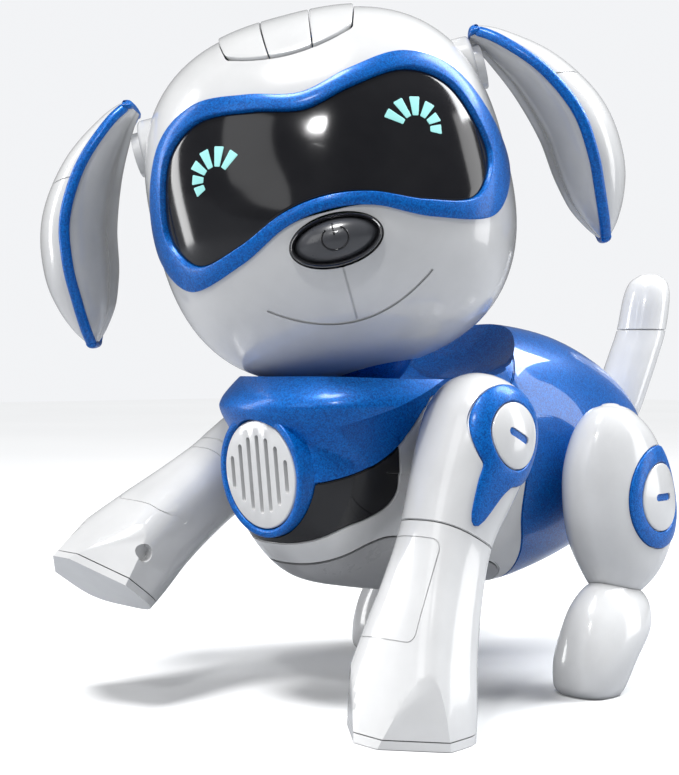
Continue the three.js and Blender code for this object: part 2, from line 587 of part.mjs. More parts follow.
function buildTorso() {
  const shell = torsoShell();
  const wide = 100;
  const cuts = joined([BIB_LINE, BACK_LINE, PANEL_LINE, TRIM_LINE]
    .map((line) => sidePrism(ribbon(line, SEAM), -wide, wide)));
  const underBib = BIB_LINE.filter(([y]) => y < PANEL_END_Y).reverse();
  const collarZone = sidePrism(BIB_LINE.concat([[4, 170], [-120, 170]]), -wide, wide);
  const backZone = sidePrism(BACK_LINE.concat([[120, 25], [120, 140]]), -wide, wide);
  const panelZone = sidePrism(PANEL_LINE.concat(underBib), -wide, wide);
  const belowTrim = sidePrism(TRIM_LINE.concat([[4, -20], [-120, -20]]), -wide, wide);

  const shaftHole = rod('x', -60, 60, SHAFT_RADIUS + 2 * SEAM, SHOULDER.y, SHOULDER.z, 16);
  const neckHole = rod('z', 60, 140, NECK.postRadius + 1.2, 0, NECK.y, 24);
  const opened = shell.subtract(cuts).subtract(shaftHole);
  const ringBody = tipped(rod('y', -1.6, GRILLE.back, GRILLE.ring, 0, 0, 28));
  const ringGap = tipped(rod('y', -10, 20, GRILLE.ring + SEAM, 0, 0, 28));
  const pocket = tipped(rod('y', -10, 20, GRILLE.radius + SEAM, 0, 0, 28));
  const collar = opened.intersect(collarZone).add(ringBody).subtract(pocket).subtract(neckHole);
  addPiece('chest_collar', collar, 'blue');
  const rest = opened.subtract(collarZone).subtract(ringGap);
  addPiece('chest_panel', rest.intersect(panelZone), 'black');
  const lower = rest.subtract(panelZone).subtract(backZone);
  addPiece('chest_trim', lower.subtract(belowTrim), 'white');

  const doorZone = box(-DOOR.x, DOOR.x, DOOR.y0, DOOR.y1, 0, DOOR.top);
  const doorHole = box(-DOOR.x - SEAM, DOOR.x + SEAM, DOOR.y0 - SEAM, DOOR.y1 + SEAM, 0, DOOR.top);
  const screwHole = rod('z', 0, 60, SCREW.radius, 0, SCREW.y, 16);
  addPiece('battery_door', shell.intersect(doorZone).subtract(screwHole), 'blue');
  addPiece('door_screw', rod('z', SCREW.low, SCREW.high, SCREW.radius - SEAM, 0, SCREW.y, 16), 'steel');

  const around = (x, y, low, high) => box(-x, x, SWITCH.y - y, SWITCH.y + y, low, high);
  const slot = around(SWITCH.slotX, SWITCH.slotY, 20, 50);
  addPiece('belly_shell', lower.intersect(belowTrim).subtract(slot), 'grey');
  const knob = around(SWITCH.knobX, SWITCH.knobY, SWITCH.low, SWITCH_PLATE.low + 1);
  const plate = around(SWITCH_PLATE.x, SWITCH_PLATE.y, SWITCH_PLATE.low, SWITCH_PLATE.high);
  addPiece('power_switch', knob.add(plate), 'rubber');

  const back = rest.intersect(backZone).subtract(doorHole).subtract(tailGap())
    .subtract(rod('x', -60, 60, SHAFT_RADIUS + 2 * SEAM, HIP.y, HIP.z, 16));
  addPiece('back_shell', back, 'blue');
}

// Boxes and shafts inside the body.
function buildInside() {
  const gearbox = box(-20, 20, SHOULDER.y - 12, SHOULDER.y + 12, 74, 97);
  const shaft = rod('x', -37, 37, SHAFT_RADIUS, SHOULDER.y, SHOULDER.z, 14);
  addPiece('drive_unit', gearbox.add(shaft), 'rubber');
  const axle = rod('x', -42, 42, SHAFT_RADIUS, HIP.y, HIP.z, 14);
  addPiece('rear_axle', axle.add(box(-14, 14, HIP.y - 6, HIP.y + 6, HIP.z + 2, HIP.z + 9)), 'rubber');
  addPiece('battery_pack', box(-15, 15, 0, 40, 50, 60.5), 'cell');
  addPiece('circuit_board', box(-19, 19, -10, 48, 86, 87.6), 'board');
  const post = rod('z', 98, 106, NECK.postRadius, 0, NECK.y, 16);
  const ball = solid(new THREE.SphereGeometry(NECK.ball, 18, 10).rotateX(Math.PI / 2))
    .subtract(solid(new THREE.SphereGeometry(NECK.ball - WALL, 12, 7).rotateX(Math.PI / 2)))
    .subtract(box(-30, 30, -30, 30, 3, 30));
  addPiece('neck_ball', post.add(movedTo(ball, 0, NECK.y, NECK.pivotZ)), 'blue');
  addPiece('eye_board', box(-26, 26, -22, -20.4, -12, 30), 'board', headSpin);
}

// ---------- legs ----------

// Front leg, shoulder at the origin, foot downwards: [z, x, y, half width, half depth, power].
const FRONT_LEG = [
  [18.6, 0, 0, 5, 6, 2.1], [16.8, 0, 0, 9.5, 10.5, 2.2], [12, 0, 0, 13.6, 15, 2.3],
  [4, 0, 0, 16, 17.6, 2.4], [-6, 0, 0, 16.4, 17.6, 2.4], [-18, 0, -0.5, 15, 16, 2.5],
  [-29, 0, -1, 13.4, 14, 2.7], [-38, 0, -0.5, 13, 13, 2.9], [-52, 0, 0.5, 14.4, 12.8, 3.2],
  [-68, 0, 2, 17, 13.2, 3.6], [-84, 0, 4.5, 20, 14, 4], [-106, 0, 7.5, 23, 15, 4],
];
const FRONT_RING = { outer: 15.6, inner: 10.4 };
const SPIKE = [[-8, -10], [8, -10], [1.5, -20], [-1.8, -31.5], [-6, -30.5], [-10.5, -14]];

// Rear thigh round the hip, and the boot below it in body coordinates.
const THIGH = [
  [31.5, 1, -13, 2.5, 4, 2], [29.3, 1, -13, 6.5, 9.5, 2.1], [22, 0.5, -11, 10.8, 16.5, 2.2],
  [10, 0, -8.5, 13, 22.5, 2.3], [-3, 0, -6.5, 13.5, 24.6, 2.3], [-15, 0, -5.5, 13, 22.5, 2.3],
  [-25, 0.5, -6, 11, 17, 2.2], [-32, 1, -8, 7, 11, 2.1], [-35, 1, -9, 3, 5, 2],
];
const BOOT = [
  [0, 50, 4.5, 9.6, 9.5, 2.6], [3, 50, 4.5, 11, 11.6, 2.6], [11, 50, 7.5, 12, 14.6, 2.5],
  [20, 50, 13, 11.6, 18, 2.4], [28, 49.5, 16, 10, 17, 2.3], [34, 49, 17, 7, 12, 2.2], [37, 49, 18, 4, 7, 2],
];
const REAR_RING = { outer: 17.6, inner: 11.8 };
const HUB = { proud: 0.7, depth: 1.4, markLong: 4.6, markHigh: 1.3 };
const PAD_TOP = 2.4;
const FOOT_TOP = 5;
// Side-view wedge that cuts the heel of the rear boot back.
const HEEL_CUT = [[13, 0], [80, -10], [80, 60], [62, 49]];

// Splits the outer face of a leg into a blue ring and the white cap inside it.
function hubPieces(leg, raised, sunk, ring, extraOutline) {
  const skinBand = raised.subtract(sunk);
  const tube = (radius) => rod('x', 4, 30, radius, 0, 0, 24);
  let zone = tube(ring.outer);
  let gap = tube(ring.outer + SEAM);
  if (extraOutline) {
    zone = zone.add(sidePrism(extraOutline, 4, 30));
    gap = gap.add(sidePrism(grownOutline(extraOutline, SEAM), 4, 30));
  }
  const mark = box(0, 40, -HUB.markLong, HUB.markLong, -HUB.markHigh, HUB.markHigh);
  return {
    ring: skinBand.intersect(zone).subtract(tube(ring.inner + SEAM)),
    cap: skinBand.intersect(tube(ring.inner)).subtract(mark.subtract(leg)),
    gap,
  };
}

// Outline pushed outwards from its middle by roughly the given distance.
function grownOutline(outline, by) {
  const cy = outline.reduce((sum, p) => sum + p[0], 0) / outline.length;
  const cz = outline.reduce((sum, p) => sum + p[1], 0) / outline.length;
  return outline.map(([y, z]) => {
    const length = Math.hypot(y - cy, z - cz);
    return [y + ((y - cy) / length) * by * 1.6, z + ((z - cz) / length) * by * 1.6];
  });
}

function buildFrontLegs() {
  const stand = new THREE.Matrix4()
    .makeTranslation(SHOULDER.x, SHOULDER.y, SHOULDER.z)
    .multiply(new THREE.Matrix4().makeRotationX(radians(-LEFT_SWING)))
    .multiply(new THREE.Matrix4().makeRotationY(radians(-FRONT_SPLAY)));
  const lifted = new THREE.Matrix4().makeScale(-1, 1, 1)
    .multiply(new THREE.Matrix4().makeTranslation(SHOULDER.x, SHOULDER.y, SHOULDER.z))
    .multiply(new THREE.Matrix4().makeRotationX(radians(-RIGHT_SWING)))
    .multiply(new THREE.Matrix4().makeRotationY(radians(-FRONT_SPLAY)));
  const toLeg = stand.clone().invert();

  const leg = loftZ(FRONT_LEG, LIMB_SIDES);
  const hollow = loftZ(FRONT_LEG, LIMB_INNER_SIDES, WALL);
  const raised = loftZ(FRONT_LEG, LIMB_SIDES, -HUB.proud);
  const sunk = loftZ(FRONT_LEG, LIMB_SIDES, HUB.depth);
  const hub = hubPieces(leg, raised, sunk, FRONT_RING, SPIKE);
  const bore = rod('x', -30, -8, SHAFT_RADIUS + 0.9, 0, 0, 16);
  const ground = (top) => moved(box(-150, 150, -250, 150, -80, top), toLeg);
  const shell = leg.subtract(hollow).subtract(bore);
  const upper = shell.intersect(box(-60, 60, -60, 60, KNEE + SEAM / 2, 60)).subtract(hub.gap);
  const solidFoot = leg.intersect(ground(FOOT_TOP));
  const lower = shell.add(solidFoot).intersect(box(-60, 60, -60, 60, -140, KNEE - SEAM / 2))
    .subtract(ground(PAD_TOP + SEAM));
  const pad = leg.intersect(ground(PAD_TOP)).subtract(ground(0));
  const pieces = [
    ['upper_leg', upper, 'white'], ['lower_leg', lower, 'white'], ['ring_cover', hub.ring, 'blue'],
    ['hub_cap', hub.cap, 'white'], ['paw_pad', pad, 'white'],
  ];
  for (const [side, matrix] of [['left', stand], ['right', lifted]]) {
    for (const [name, shape, look] of pieces) {
      addPiece(`${side}_front_${name}`, shape, look, matrix);
    }
  }
}

function buildRearLegs() {
  const hip = new THREE.Matrix4().makeTranslation(HIP.x, HIP.y, HIP.z);
  const leg = loftZ(THIGH, LIMB_SIDES);
  const raised = loftZ(THIGH, LIMB_SIDES, -HUB.proud);
  const sunk = loftZ(THIGH, LIMB_SIDES, HUB.depth);
  const hub = hubPieces(leg, raised, sunk, REAR_RING, null);
  const bore = rod('x', -30, -5, SHAFT_RADIUS + 0.5, 0, 0, 16);
  const thigh = leg.subtract(loftZ(THIGH, LIMB_INNER_SIDES, WALL)).subtract(bore).subtract(hub.gap);
  const boot = loftZ(BOOT, LIMB_SIDES).subtract(sidePrism(HEEL_CUT, 0, 90))
    .subtract(moved(loftZ(THIGH, LIMB_SIDES, -SEAM), hip));
  const pieces = [
    ['thigh', moved(thigh, hip), 'white'], ['ring_cover', moved(hub.ring, hip), 'blue'],
    ['hub_cap', moved(hub.cap, hip), 'white'], ['foot', boot, 'white'],
  ];
  for (const [side, name] of [[1, 'left'], [-1, 'right']]) {
    const flip = new THREE.Matrix4().makeScale(side, 1, 1);
    for (const [piece, shape, look] of pieces) {
      addPiece(`${name}_rear_${piece}`, shape, look, flip);
    }
  }
}

// ---------- tail ----------

const TAIL_STATIONS = [
  [87, 0, 82, 6.5, 6.5, 2], [91, 0, 84.5, 9.2, 9.2, 2], [103, 0, 90.5, 10, 10, 2],
  [115, 0, 97, 10, 10, 2], [125, 0, 102, 9.8, 9.8, 2], [138, 0, 105.5, 9.4, 9.4, 2],
  [144.5, 0, 106.8, 7.6, 7.6, 2], [148, 0, 107.5, 3.6, 3.6, 2],
];

function tailGap() {
  const grown = loftZ(TAIL_STATIONS, 12, -0.5);
  const swung = (angle) => moved(grown, new THREE.Matrix4()
    .makeTranslation(0, TAIL.y, TAIL.z)
    .multiply(new THREE.Matrix4().makeRotationX(radians(angle)))
    .multiply(new THREE.Matrix4().makeTranslation(0, -TAIL.y, -TAIL.z)));
  return joined([swung(-TAIL.swing), grown, swung(TAIL.swing)]);
}

function buildTail() {
  const tail = loftZ(TAIL_STATIONS, 16);
  const hollow = loftZ(TAIL_STATIONS, 10, WALL);
  const shell = tail.subtract(hollow);
  addPiece('tail_base', shell.intersect(box(-30, 30, 40, 160, 0, TAIL.seam - SEAM / 2)), 'white');
  addPiece('tail_tip', shell.intersect(box(-30, 30, 40, 160, TAIL.seam + SEAM / 2, 300)), 'white');
}

buildHead();
buildEars();
buildGrille();
buildTorso();
buildInside();
buildFrontLegs();
buildRearLegs();
buildTail();

// Set the toy down with the middle of its footprint at the origin.
const bounds = new THREE.Box3().setFromObject(toy, true);
const footprint = bounds.getCenter(new THREE.Vector3());
for (const mesh of toy.children) {
  mesh.geometry.translate(-footprint.x, -footprint.y, -bounds.min.z);
}

export default toy;
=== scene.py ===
import json
import math
from types import SimpleNamespace as Sizes

import bmesh
import bpy
import numpy as np
from mathutils import Matrix, Vector


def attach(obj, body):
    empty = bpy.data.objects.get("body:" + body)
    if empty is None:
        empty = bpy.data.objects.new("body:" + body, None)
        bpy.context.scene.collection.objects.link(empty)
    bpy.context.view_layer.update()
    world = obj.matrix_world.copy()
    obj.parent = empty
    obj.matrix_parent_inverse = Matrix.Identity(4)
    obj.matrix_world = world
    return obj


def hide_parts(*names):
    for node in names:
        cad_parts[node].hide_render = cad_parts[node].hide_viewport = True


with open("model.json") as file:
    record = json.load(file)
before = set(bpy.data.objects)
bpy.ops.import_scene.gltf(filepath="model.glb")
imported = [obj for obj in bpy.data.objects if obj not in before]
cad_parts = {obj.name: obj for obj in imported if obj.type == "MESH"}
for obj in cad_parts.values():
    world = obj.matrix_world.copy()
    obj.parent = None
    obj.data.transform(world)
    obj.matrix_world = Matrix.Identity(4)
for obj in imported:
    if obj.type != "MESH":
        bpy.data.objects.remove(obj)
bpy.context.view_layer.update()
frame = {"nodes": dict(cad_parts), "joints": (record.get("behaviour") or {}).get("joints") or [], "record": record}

# Lengths are millimetres in the dog's own coordinates until a piece is finished: it looks along -Y,
# its left side is +X, and up is +Z. The joints of the frame say where those coordinates lie.
MM = 0.001
JOINTS = {joint["name"]: joint for joint in frame["joints"]}
SEAM = 0.35                # width of the line between two mouldings
LIP = 0.45                 # radius of a moulded edge
SHARP = math.radians(38)   # edges bent further than this stay crisp


def pivot(name):
    return Vector(JOINTS[name]["pos_m"]) / MM


def shift(x=0.0, y=0.0, z=0.0):
    return Matrix.Translation((x, y, z))


def spin(axis, degrees):
    return Matrix.Rotation(math.radians(degrees), 4, axis)


def mirrored(side):
    """Leaves the left side, 1, as it is and turns it into the right side, -1."""
    return Matrix.Diagonal((side, 1, 1, 1))


TO_METRES = Matrix.Diagonal((MM, MM, MM, 1))
SIDES = {"left": 1, "right": -1}

# Head, measured from its middle. Width and height are half sizes.
HEAD = Sizes(width=60, front=54, back=52, height=60, lift=51, power=2.6, depth_power=2.2)
MUZZLE = Sizes(drop=-0.32, spread=0.42, size=4.5)
HEAD_ROOM = 0.4            # kept free between the turned head and the back
NECK_Y = -51.3
NECK_BALL = 15.5
HEAD_TURN = math.degrees(math.atan2(-JOINTS["head_lean"]["axis"][0], JOINTS["head_lean"]["axis"][1]))
HEAD_LEAN = math.degrees(math.asin(JOINTS["left_ear_swing"]["axis"][2]))

neck = pivot("neck_turn")
TORSO_PLACE = shift(neck.x, neck.y - NECK_Y, 0)


def head_at(turn, lean):
    """Where the head lies when its two joints have moved by these angles from rest."""
    return (shift(neck.x, neck.y, pivot("head_lean").z) @ spin("Z", HEAD_TURN + turn)
            @ spin("Y", lean - HEAD_LEAN) @ shift(z=HEAD.lift))


HEAD_PLACE = head_at(0, 0)


# ---------- meshes ----------

def shape_from(points, faces):
    mesh = bpy.data.meshes.new("shape")
    mesh.from_pydata([tuple(p) for p in points], [], faces)
    outward(mesh)
    shape = bpy.data.objects.new("shape", mesh)
    bpy.context.scene.collection.objects.link(shape)
    return shape


def outward(mesh):
    form = bmesh.new()
    form.from_mesh(mesh)
    bmesh.ops.recalc_face_normals(form, faces=form.faces)
    form.to_mesh(mesh)
    form.free()


def skin(rings, closed=False):
    """Closed surface through rings of points. The end rings are capped, or joined to each other."""
    rings = np.asarray(rings, float)
    count, around = rings.shape[:2]
    points = list(rings.reshape(-1, 3))
    faces = []
    for r in range(count if closed else count - 1):
        low = r * around
        high = ((r + 1) % count) * around
        for k in range(around):
            after = (k + 1) % around
            faces.append((low + k, low + after, high + after, high + k))
    if not closed:
        for ring, start in ((rings[0], 0), (rings[-1], (count - 1) * around)):
            points.append(ring.mean(axis=0))
            faces += [(start + k, start + (k + 1) % around, len(points) - 1) for k in range(around)]
    return shape_from(points, faces)


def copy_of(shape):
    twin = shape.copy()
    twin.data = shape.data.copy()
    bpy.context.scene.collection.objects.link(twin)
    return twin


def moved(shape, matrix):
    shape.data.transform(matrix)
    return shape


def drop(*shapes):
    for shape in shapes:
        bpy.data.objects.remove(shape)


def combine(shape, operation, other, keep):
    modifier = shape.modifiers.new("join", "BOOLEAN")
    modifier.operation = operation
    modifier.solver = "MANIFOLD"
    modifier.object = other
    bpy.context.view_layer.update()
    mesh = bpy.data.meshes.new_from_object(shape.evaluated_get(bpy.context.evaluated_depsgraph_get()))
    shape.modifiers.clear()
    shape.data = mesh
    if not keep:
        drop(other)
    return shape


def cut(shape, *others, keep=False):
    for other in others:
        combine(shape, "DIFFERENCE", other, keep)
    return shape


def common(shape, other, keep=False):
    return combine(shape, "INTERSECT", other, keep)


def add(shape, other):
    return combine(shape, "UNION", other, keep=False)


def joined(shapes):
    """Several closed bodies in one mesh, without a boolean."""
    form = bmesh.new()
    for shape in shapes:
        form.from_mesh(shape.data)
    form.to_mesh(shapes[0].data)
    form.free()
    drop(*shapes[1:])
    return shapes[0]


def piece(name, shape, look, body, place, nodes=None):
    """Finishes a shape: places it, smooths it, paints it, and hides the CAD nodes it stands for."""
    shape.name = name + "_fine"
    shape.data.name = name + "_fine"
    moved(shape, TO_METRES @ place)
    outward(shape.data)
    shape.data.polygons.foreach_set("use_smooth", [True] * len(shape.data.polygons))
    shape.data.set_sharp_from_angle(angle=SHARP)
    shape.data.materials.clear()
    shape.data.materials.append(LOOKS[look])
    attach(shape, body)
    if nodes is None:
        nodes = [name]
    if nodes:
        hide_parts(*nodes)
    look if look in SLOTS else SLOT_OF[look]
    return shape


# ---------- curves and forms ----------

def smoothed(stations, steps, closed=False):
    """Values between the given stations, along a smooth curve through all of them."""
    values = np.asarray(stations, float)
    last = len(values) - 1
    result = []
    for i in range(last + 1 if closed else last):
        if closed:
            a, b, c, d = (values[(i + n) % (last + 1)] for n in (-1, 0, 1, 2))
        else:
            a, b, c, d = values[max(i - 1, 0)], values[i], values[i + 1], values[min(i + 2, last)]
        for t in np.arange(steps) / steps:
            result.append(0.5 * (2 * b + (c - a) * t + (2 * a - 5 * b + 4 * c - d) * t ** 2
                                 + (3 * b - a - 3 * c + d) * t ** 3))
    if not closed:
        result.append(values[-1])
    return np.array(result)


def columns(*values):
    return np.stack(values, axis=1)


def lengths(rows):
    return np.linalg.norm(rows, axis=1)[:, None]


def circle(count):
    return 2 * math.pi * np.arange(count) / count


def oval(angle, half_width, half_height, power):
    c, s = np.cos(angle), np.sin(angle)
    size = (np.abs(c) ** power + np.abs(s) ** power) ** (-1 / power)
    return half_width * c * size, half_height * s * size


def end_rings(edge, before, dome):
    """Stations of a dome beyond an end station, from its edge outwards."""
    rows = []
    for share in (0.35, 0.7, 0.92):
        turn = share * math.pi / 2
        row = edge.copy()
        row[0] += np.sign(edge[0] - before[0]) * dome * math.sin(turn)
        row[3:5] *= math.cos(turn)
        rows.append(row)
    return rows


def loft(stations, around, steps, inset=0.0, dome=0.0, order=(0, 1, 2)):
    """Skin through ovals. Station: [z, centre x, centre y, half x, half y, power]. Order swaps the axes."""
    rows = smoothed(stations, steps)
    if dome:
        start, end = end_rings(rows[0], rows[1], dome), end_rings(rows[-1], rows[-2], dome)
        rows = np.array([*start[::-1], *rows, *end])
    middle = (rows[0][0] + rows[-1][0]) / 2
    reach = abs(rows[0][0] - middle)
    angle = circle(around)
    rings = []
    for z, x, y, half_x, half_y, power in rows:
        u, v = oval(angle, max(half_x - inset, 0.4), max(half_y - inset, 0.4), power)
        level = middle + (z - middle) * (1 - inset / reach)
        rings.append(columns(x + u, y + v, np.full(around, level))[:, order])
    return skin(rings)


def block(x0, x1, y0, y1, z0, z1):
    ring = [(x0, y0), (x1, y0), (x1, y1), (x0, y1)]
    return skin([[(x, y, z) for x, y in ring] for z in (z0, z1)])


def turned(axis, profile, around=96):
    """Body of revolution about a main axis. Profile: (radius, height) pairs from axis to axis."""
    angle = circle(around)
    rings = []
    for radius, height in profile:
        u, v = max(radius, 0.01) * np.cos(angle), max(radius, 0.01) * np.sin(angle)
        w = np.full(around, height)
        rings.append(np.stack({"x": [w, u, v], "y": [u, w, v], "z": [u, v, w]}[axis], axis=1))
    return skin(rings)


def drum(axis, low, high, radius, lip=0.0, around=96):
    """Cylinder whose rims are rounded by lip."""
    profile = []
    turns = [0.0] if not lip else np.radians([0, 22.5, 45, 67.5, 90])
    for turn in turns:
        profile.append((radius - lip * (1 - math.sin(turn)), low + lip * (1 - math.cos(turn))))
    profile += [(r, low + high - h) for r, h in reversed(profile)]
    return turned(axis, profile, around)


def prism(low, high):
    """Closed body between two flat outlines that may bend inwards."""
    count = len(low)
    faces = [(k, (k + 1) % count, count + (k + 1) % count, count + k) for k in range(count)]
    faces += [tuple(range(count)), tuple(range(count, 2 * count))]
    return shape_from([*low, *high], faces)


def side_prism(outline, x0=-100, x1=100):
    return prism(*([(x, y, z) for y, z in outline] for x in (x0, x1)))


def front_prism(outline, y0, y1):
    return prism(*([(x, y, z) for x, z in outline] for y in (y0, y1)))


def ribbon(line, width, ends=0.0):
    """Flat band of the given width along a line of points, as an outline."""
    line = np.array(line, float)
    along = np.gradient(line, axis=0)
    along /= lengths(along)
    normal = columns(-along[:, 1], along[:, 0]) * width / 2
    line[0] -= along[0] * ends
    line[-1] += along[-1] * ends
    return np.concatenate([line + normal, (line - normal)[::-1]])


def far_side(point, normal):
    """Everything beyond a plane, as a big block to cut with."""
    turn = Vector((0, 0, 1)).rotation_difference(Vector(normal)).to_matrix().to_4x4()
    return moved(block(-200, 200, -200, 200, 0, 200), shift(*point) @ turn)


def rounded_box_outline(half_width, half_height, radius, per_corner=8):
    points = []
    for corner in range(4):
        cx = (half_width - radius) * (1 if corner in (0, 3) else -1)
        cy = (half_height - radius) * (1 if corner in (0, 1) else -1)
        for turn in np.linspace(0, math.pi / 2, per_corner) + corner * math.pi / 2:
            points.append((cx + radius * math.cos(turn), cy + radius * math.sin(turn)))
    return np.array(points)


def fine(outline, step):
    """The same outline with points added, so that no edge is longer than the step."""
    outline = np.asarray(outline, float)
    points = []
    for a, b in zip(outline, np.roll(outline, -1, axis=0)):
        count = max(1, math.ceil(np.linalg.norm(b - a) / step))
        points.extend(a + (b - a) * k / count for k in range(count))
    return np.array(points)


def edge_profile(height, depth, lip):
    """(inset, offset) pairs up the side of a plate and round its lip."""
    turns = np.linspace(0, math.pi / 2, 5)
    return [(0.0, -depth)] + [(lip * (1 - math.cos(t)), height - lip * (1 - math.sin(t))) for t in turns]


def plate(outline, centre, surface, height, depth=1.6, lip=LIP, rings=14, crown=0.0):
    """Closed plate on a curved surface. surface(u, v, offset) gives the points of the surface."""
    outline = np.asarray(outline, float)
    arm = outline - centre
    length = lengths(arm)
    top = []
    for inset, offset in edge_profile(height, depth, lip):
        flat = centre + arm * (1 - inset / length)
        top.append(surface(flat[:, 0], flat[:, 1], offset))
    inside = centre + arm * (1 - lip / length)
    for share in np.linspace(1, 0.02, rings)[1:]:
        flat = centre + (inside - centre) * share
        top.append(surface(flat[:, 0], flat[:, 1], height + crown * (1 - share ** 2)))
    bottom = []
    for share in np.linspace(0.02, 1, rings)[:-1]:
        flat = centre + arm * share
        bottom.append(surface(flat[:, 0], flat[:, 1], -depth))
    return skin(top[::-1] + bottom[::-1])


def band(outer, inner, surface, height, depth=1.6, lip=LIP, rings=5, crown=0.0):
    """Closed ring-shaped plate between two outlines that have the same number of points."""
    outer, inner = np.asarray(outer, float), np.asarray(inner, float)
    across = inner - outer
    width = lengths(across)
    rows = []
    for inset, offset in edge_profile(height, depth, lip):
        rows.append((outer + across * (inset / width), offset))
    for share in np.linspace(0, 1, rings + 1)[1:-1]:
        low = outer + across * (lip / width)
        high = inner - across * (lip / width)
        rows.append((low + (high - low) * share, height + crown * 4 * share * (1 - share)))
    for inset, offset in reversed(edge_profile(height, depth, lip)):
        rows.append((inner - across * (inset / width), offset))
    return skin([surface(flat[:, 0], flat[:, 1], offset) for flat, offset in rows], closed=True)


def tube(path, radius):
    """Round rod with closed ends along a path of 3-D points."""
    path = np.asarray(path, float)
    along = np.gradient(path, axis=0)
    along /= lengths(along)
    side = np.cross(along[0], (0.3, 0.9, 0.2))
    rings = []
    for point, direction in zip(path, along):
        side = side - direction * np.dot(side, direction)
        side /= np.linalg.norm(side)
        other = np.cross(direction, side)
        angle = circle(12)[:, None]
        rings.append(point + radius * (np.cos(angle) * side + np.sin(angle) * other))
    return skin(rings)


# ---------- materials ----------

def feed(links, node, **inputs):
    """Sets a shader node's inputs, by name or as _number, and links any that is given as a socket."""
    for key, value in inputs.items():
        socket = node.inputs[int(key[1:])] if key[0] == "_" else node.inputs[key.replace("_", " ")]
        if isinstance(value, bpy.types.NodeSocket):
            links.new(value, socket)
        else:
            socket.default_value = value


def wire(nodes, links, kind, settings=None, **inputs):
    """Adds a shader node, sets its properties and feeds its inputs."""
    node = nodes.new(kind)
    for key, value in (settings or {}).items():
        setattr(node, key, value)
    feed(links, node, **inputs)
    return node


def ramp(nodes, links, factor, stops):
    node = wire(nodes, links, "ShaderNodeValToRGB", Fac=factor)
    elements = node.color_ramp.elements
    elements[0].position, elements[0].color = stops[0][0], (*stops[0][1], 1)
    elements[1].position, elements[1].color = stops[-1][0], (*stops[-1][1], 1)
    for place, color in stops[1:-1]:
        elements.new(place).color = (*color, 1)
    return node.outputs["Color"]


def spread(nodes, links, factor, low, high):
    node = wire(nodes, links, "ShaderNodeMapRange", Value=factor, To_Min=low, To_Max=high)
    return node.outputs["Result"]


def moulded(name, dark, light, roughness, texture=0.02, grain=900.0, metallic=0.0, coat=0.0, flake=None,
            glow=None, coat_roughness=0.05, specular=0.5):
    """Moulded plastic: slight mottling, uneven gloss and a fine skin; flake adds metal specks."""
    material = bpy.data.materials.new(name)
    material.use_nodes = True
    nodes, links = material.node_tree.nodes, material.node_tree.links
    shader = nodes["Principled BSDF"]
    place = wire(nodes, links, "ShaderNodeTexCoord").outputs["Object"]
    mottle = wire(nodes, links, "ShaderNodeTexNoise", Vector=place, Scale=55.0, Detail=4.0, Roughness=0.55)
    color = ramp(nodes, links, mottle.outputs["Fac"], [(0.3, dark), (0.7, light)])
    skin_noise = wire(nodes, links, "ShaderNodeTexNoise", Vector=place, Scale=grain, Detail=3.0)
    height = skin_noise.outputs["Fac"]
    if flake:
        cells = wire(nodes, links, "ShaderNodeTexVoronoi", Vector=place, Scale=flake["scale"])
        speck = wire(nodes, links, "ShaderNodeSeparateColor", Color=cells.outputs["Color"]).outputs["Red"]
        stops = [(0.0, flake["dark"]), (0.45, flake["mid"]), (1.0, flake["bright"])]
        mixed = wire(nodes, links, "ShaderNodeMix", {"data_type": "RGBA"}, _0=flake["share"], _6=color,
                     _7=ramp(nodes, links, speck, stops))
        color = mixed.outputs[2]
        height = speck
    smudge = wire(nodes, links, "ShaderNodeTexNoise", Vector=place, Scale=30.0, Detail=6.0, Roughness=0.7)
    gloss = spread(nodes, links, smudge.outputs["Fac"], roughness * 0.8, roughness * 1.25)
    bump = wire(nodes, links, "ShaderNodeBump", Strength=texture, Distance=0.0003, Height=height)
    feed(links, shader, Base_Color=color, Roughness=gloss, Normal=bump.outputs["Normal"], Metallic=metallic,
         Specular_IOR_Level=specular, Coat_Weight=coat, Coat_Roughness=coat_roughness)
    if glow:
        feed(links, shader, Emission_Color=(*glow[0], 1), Emission_Strength=glow[1])
    return material


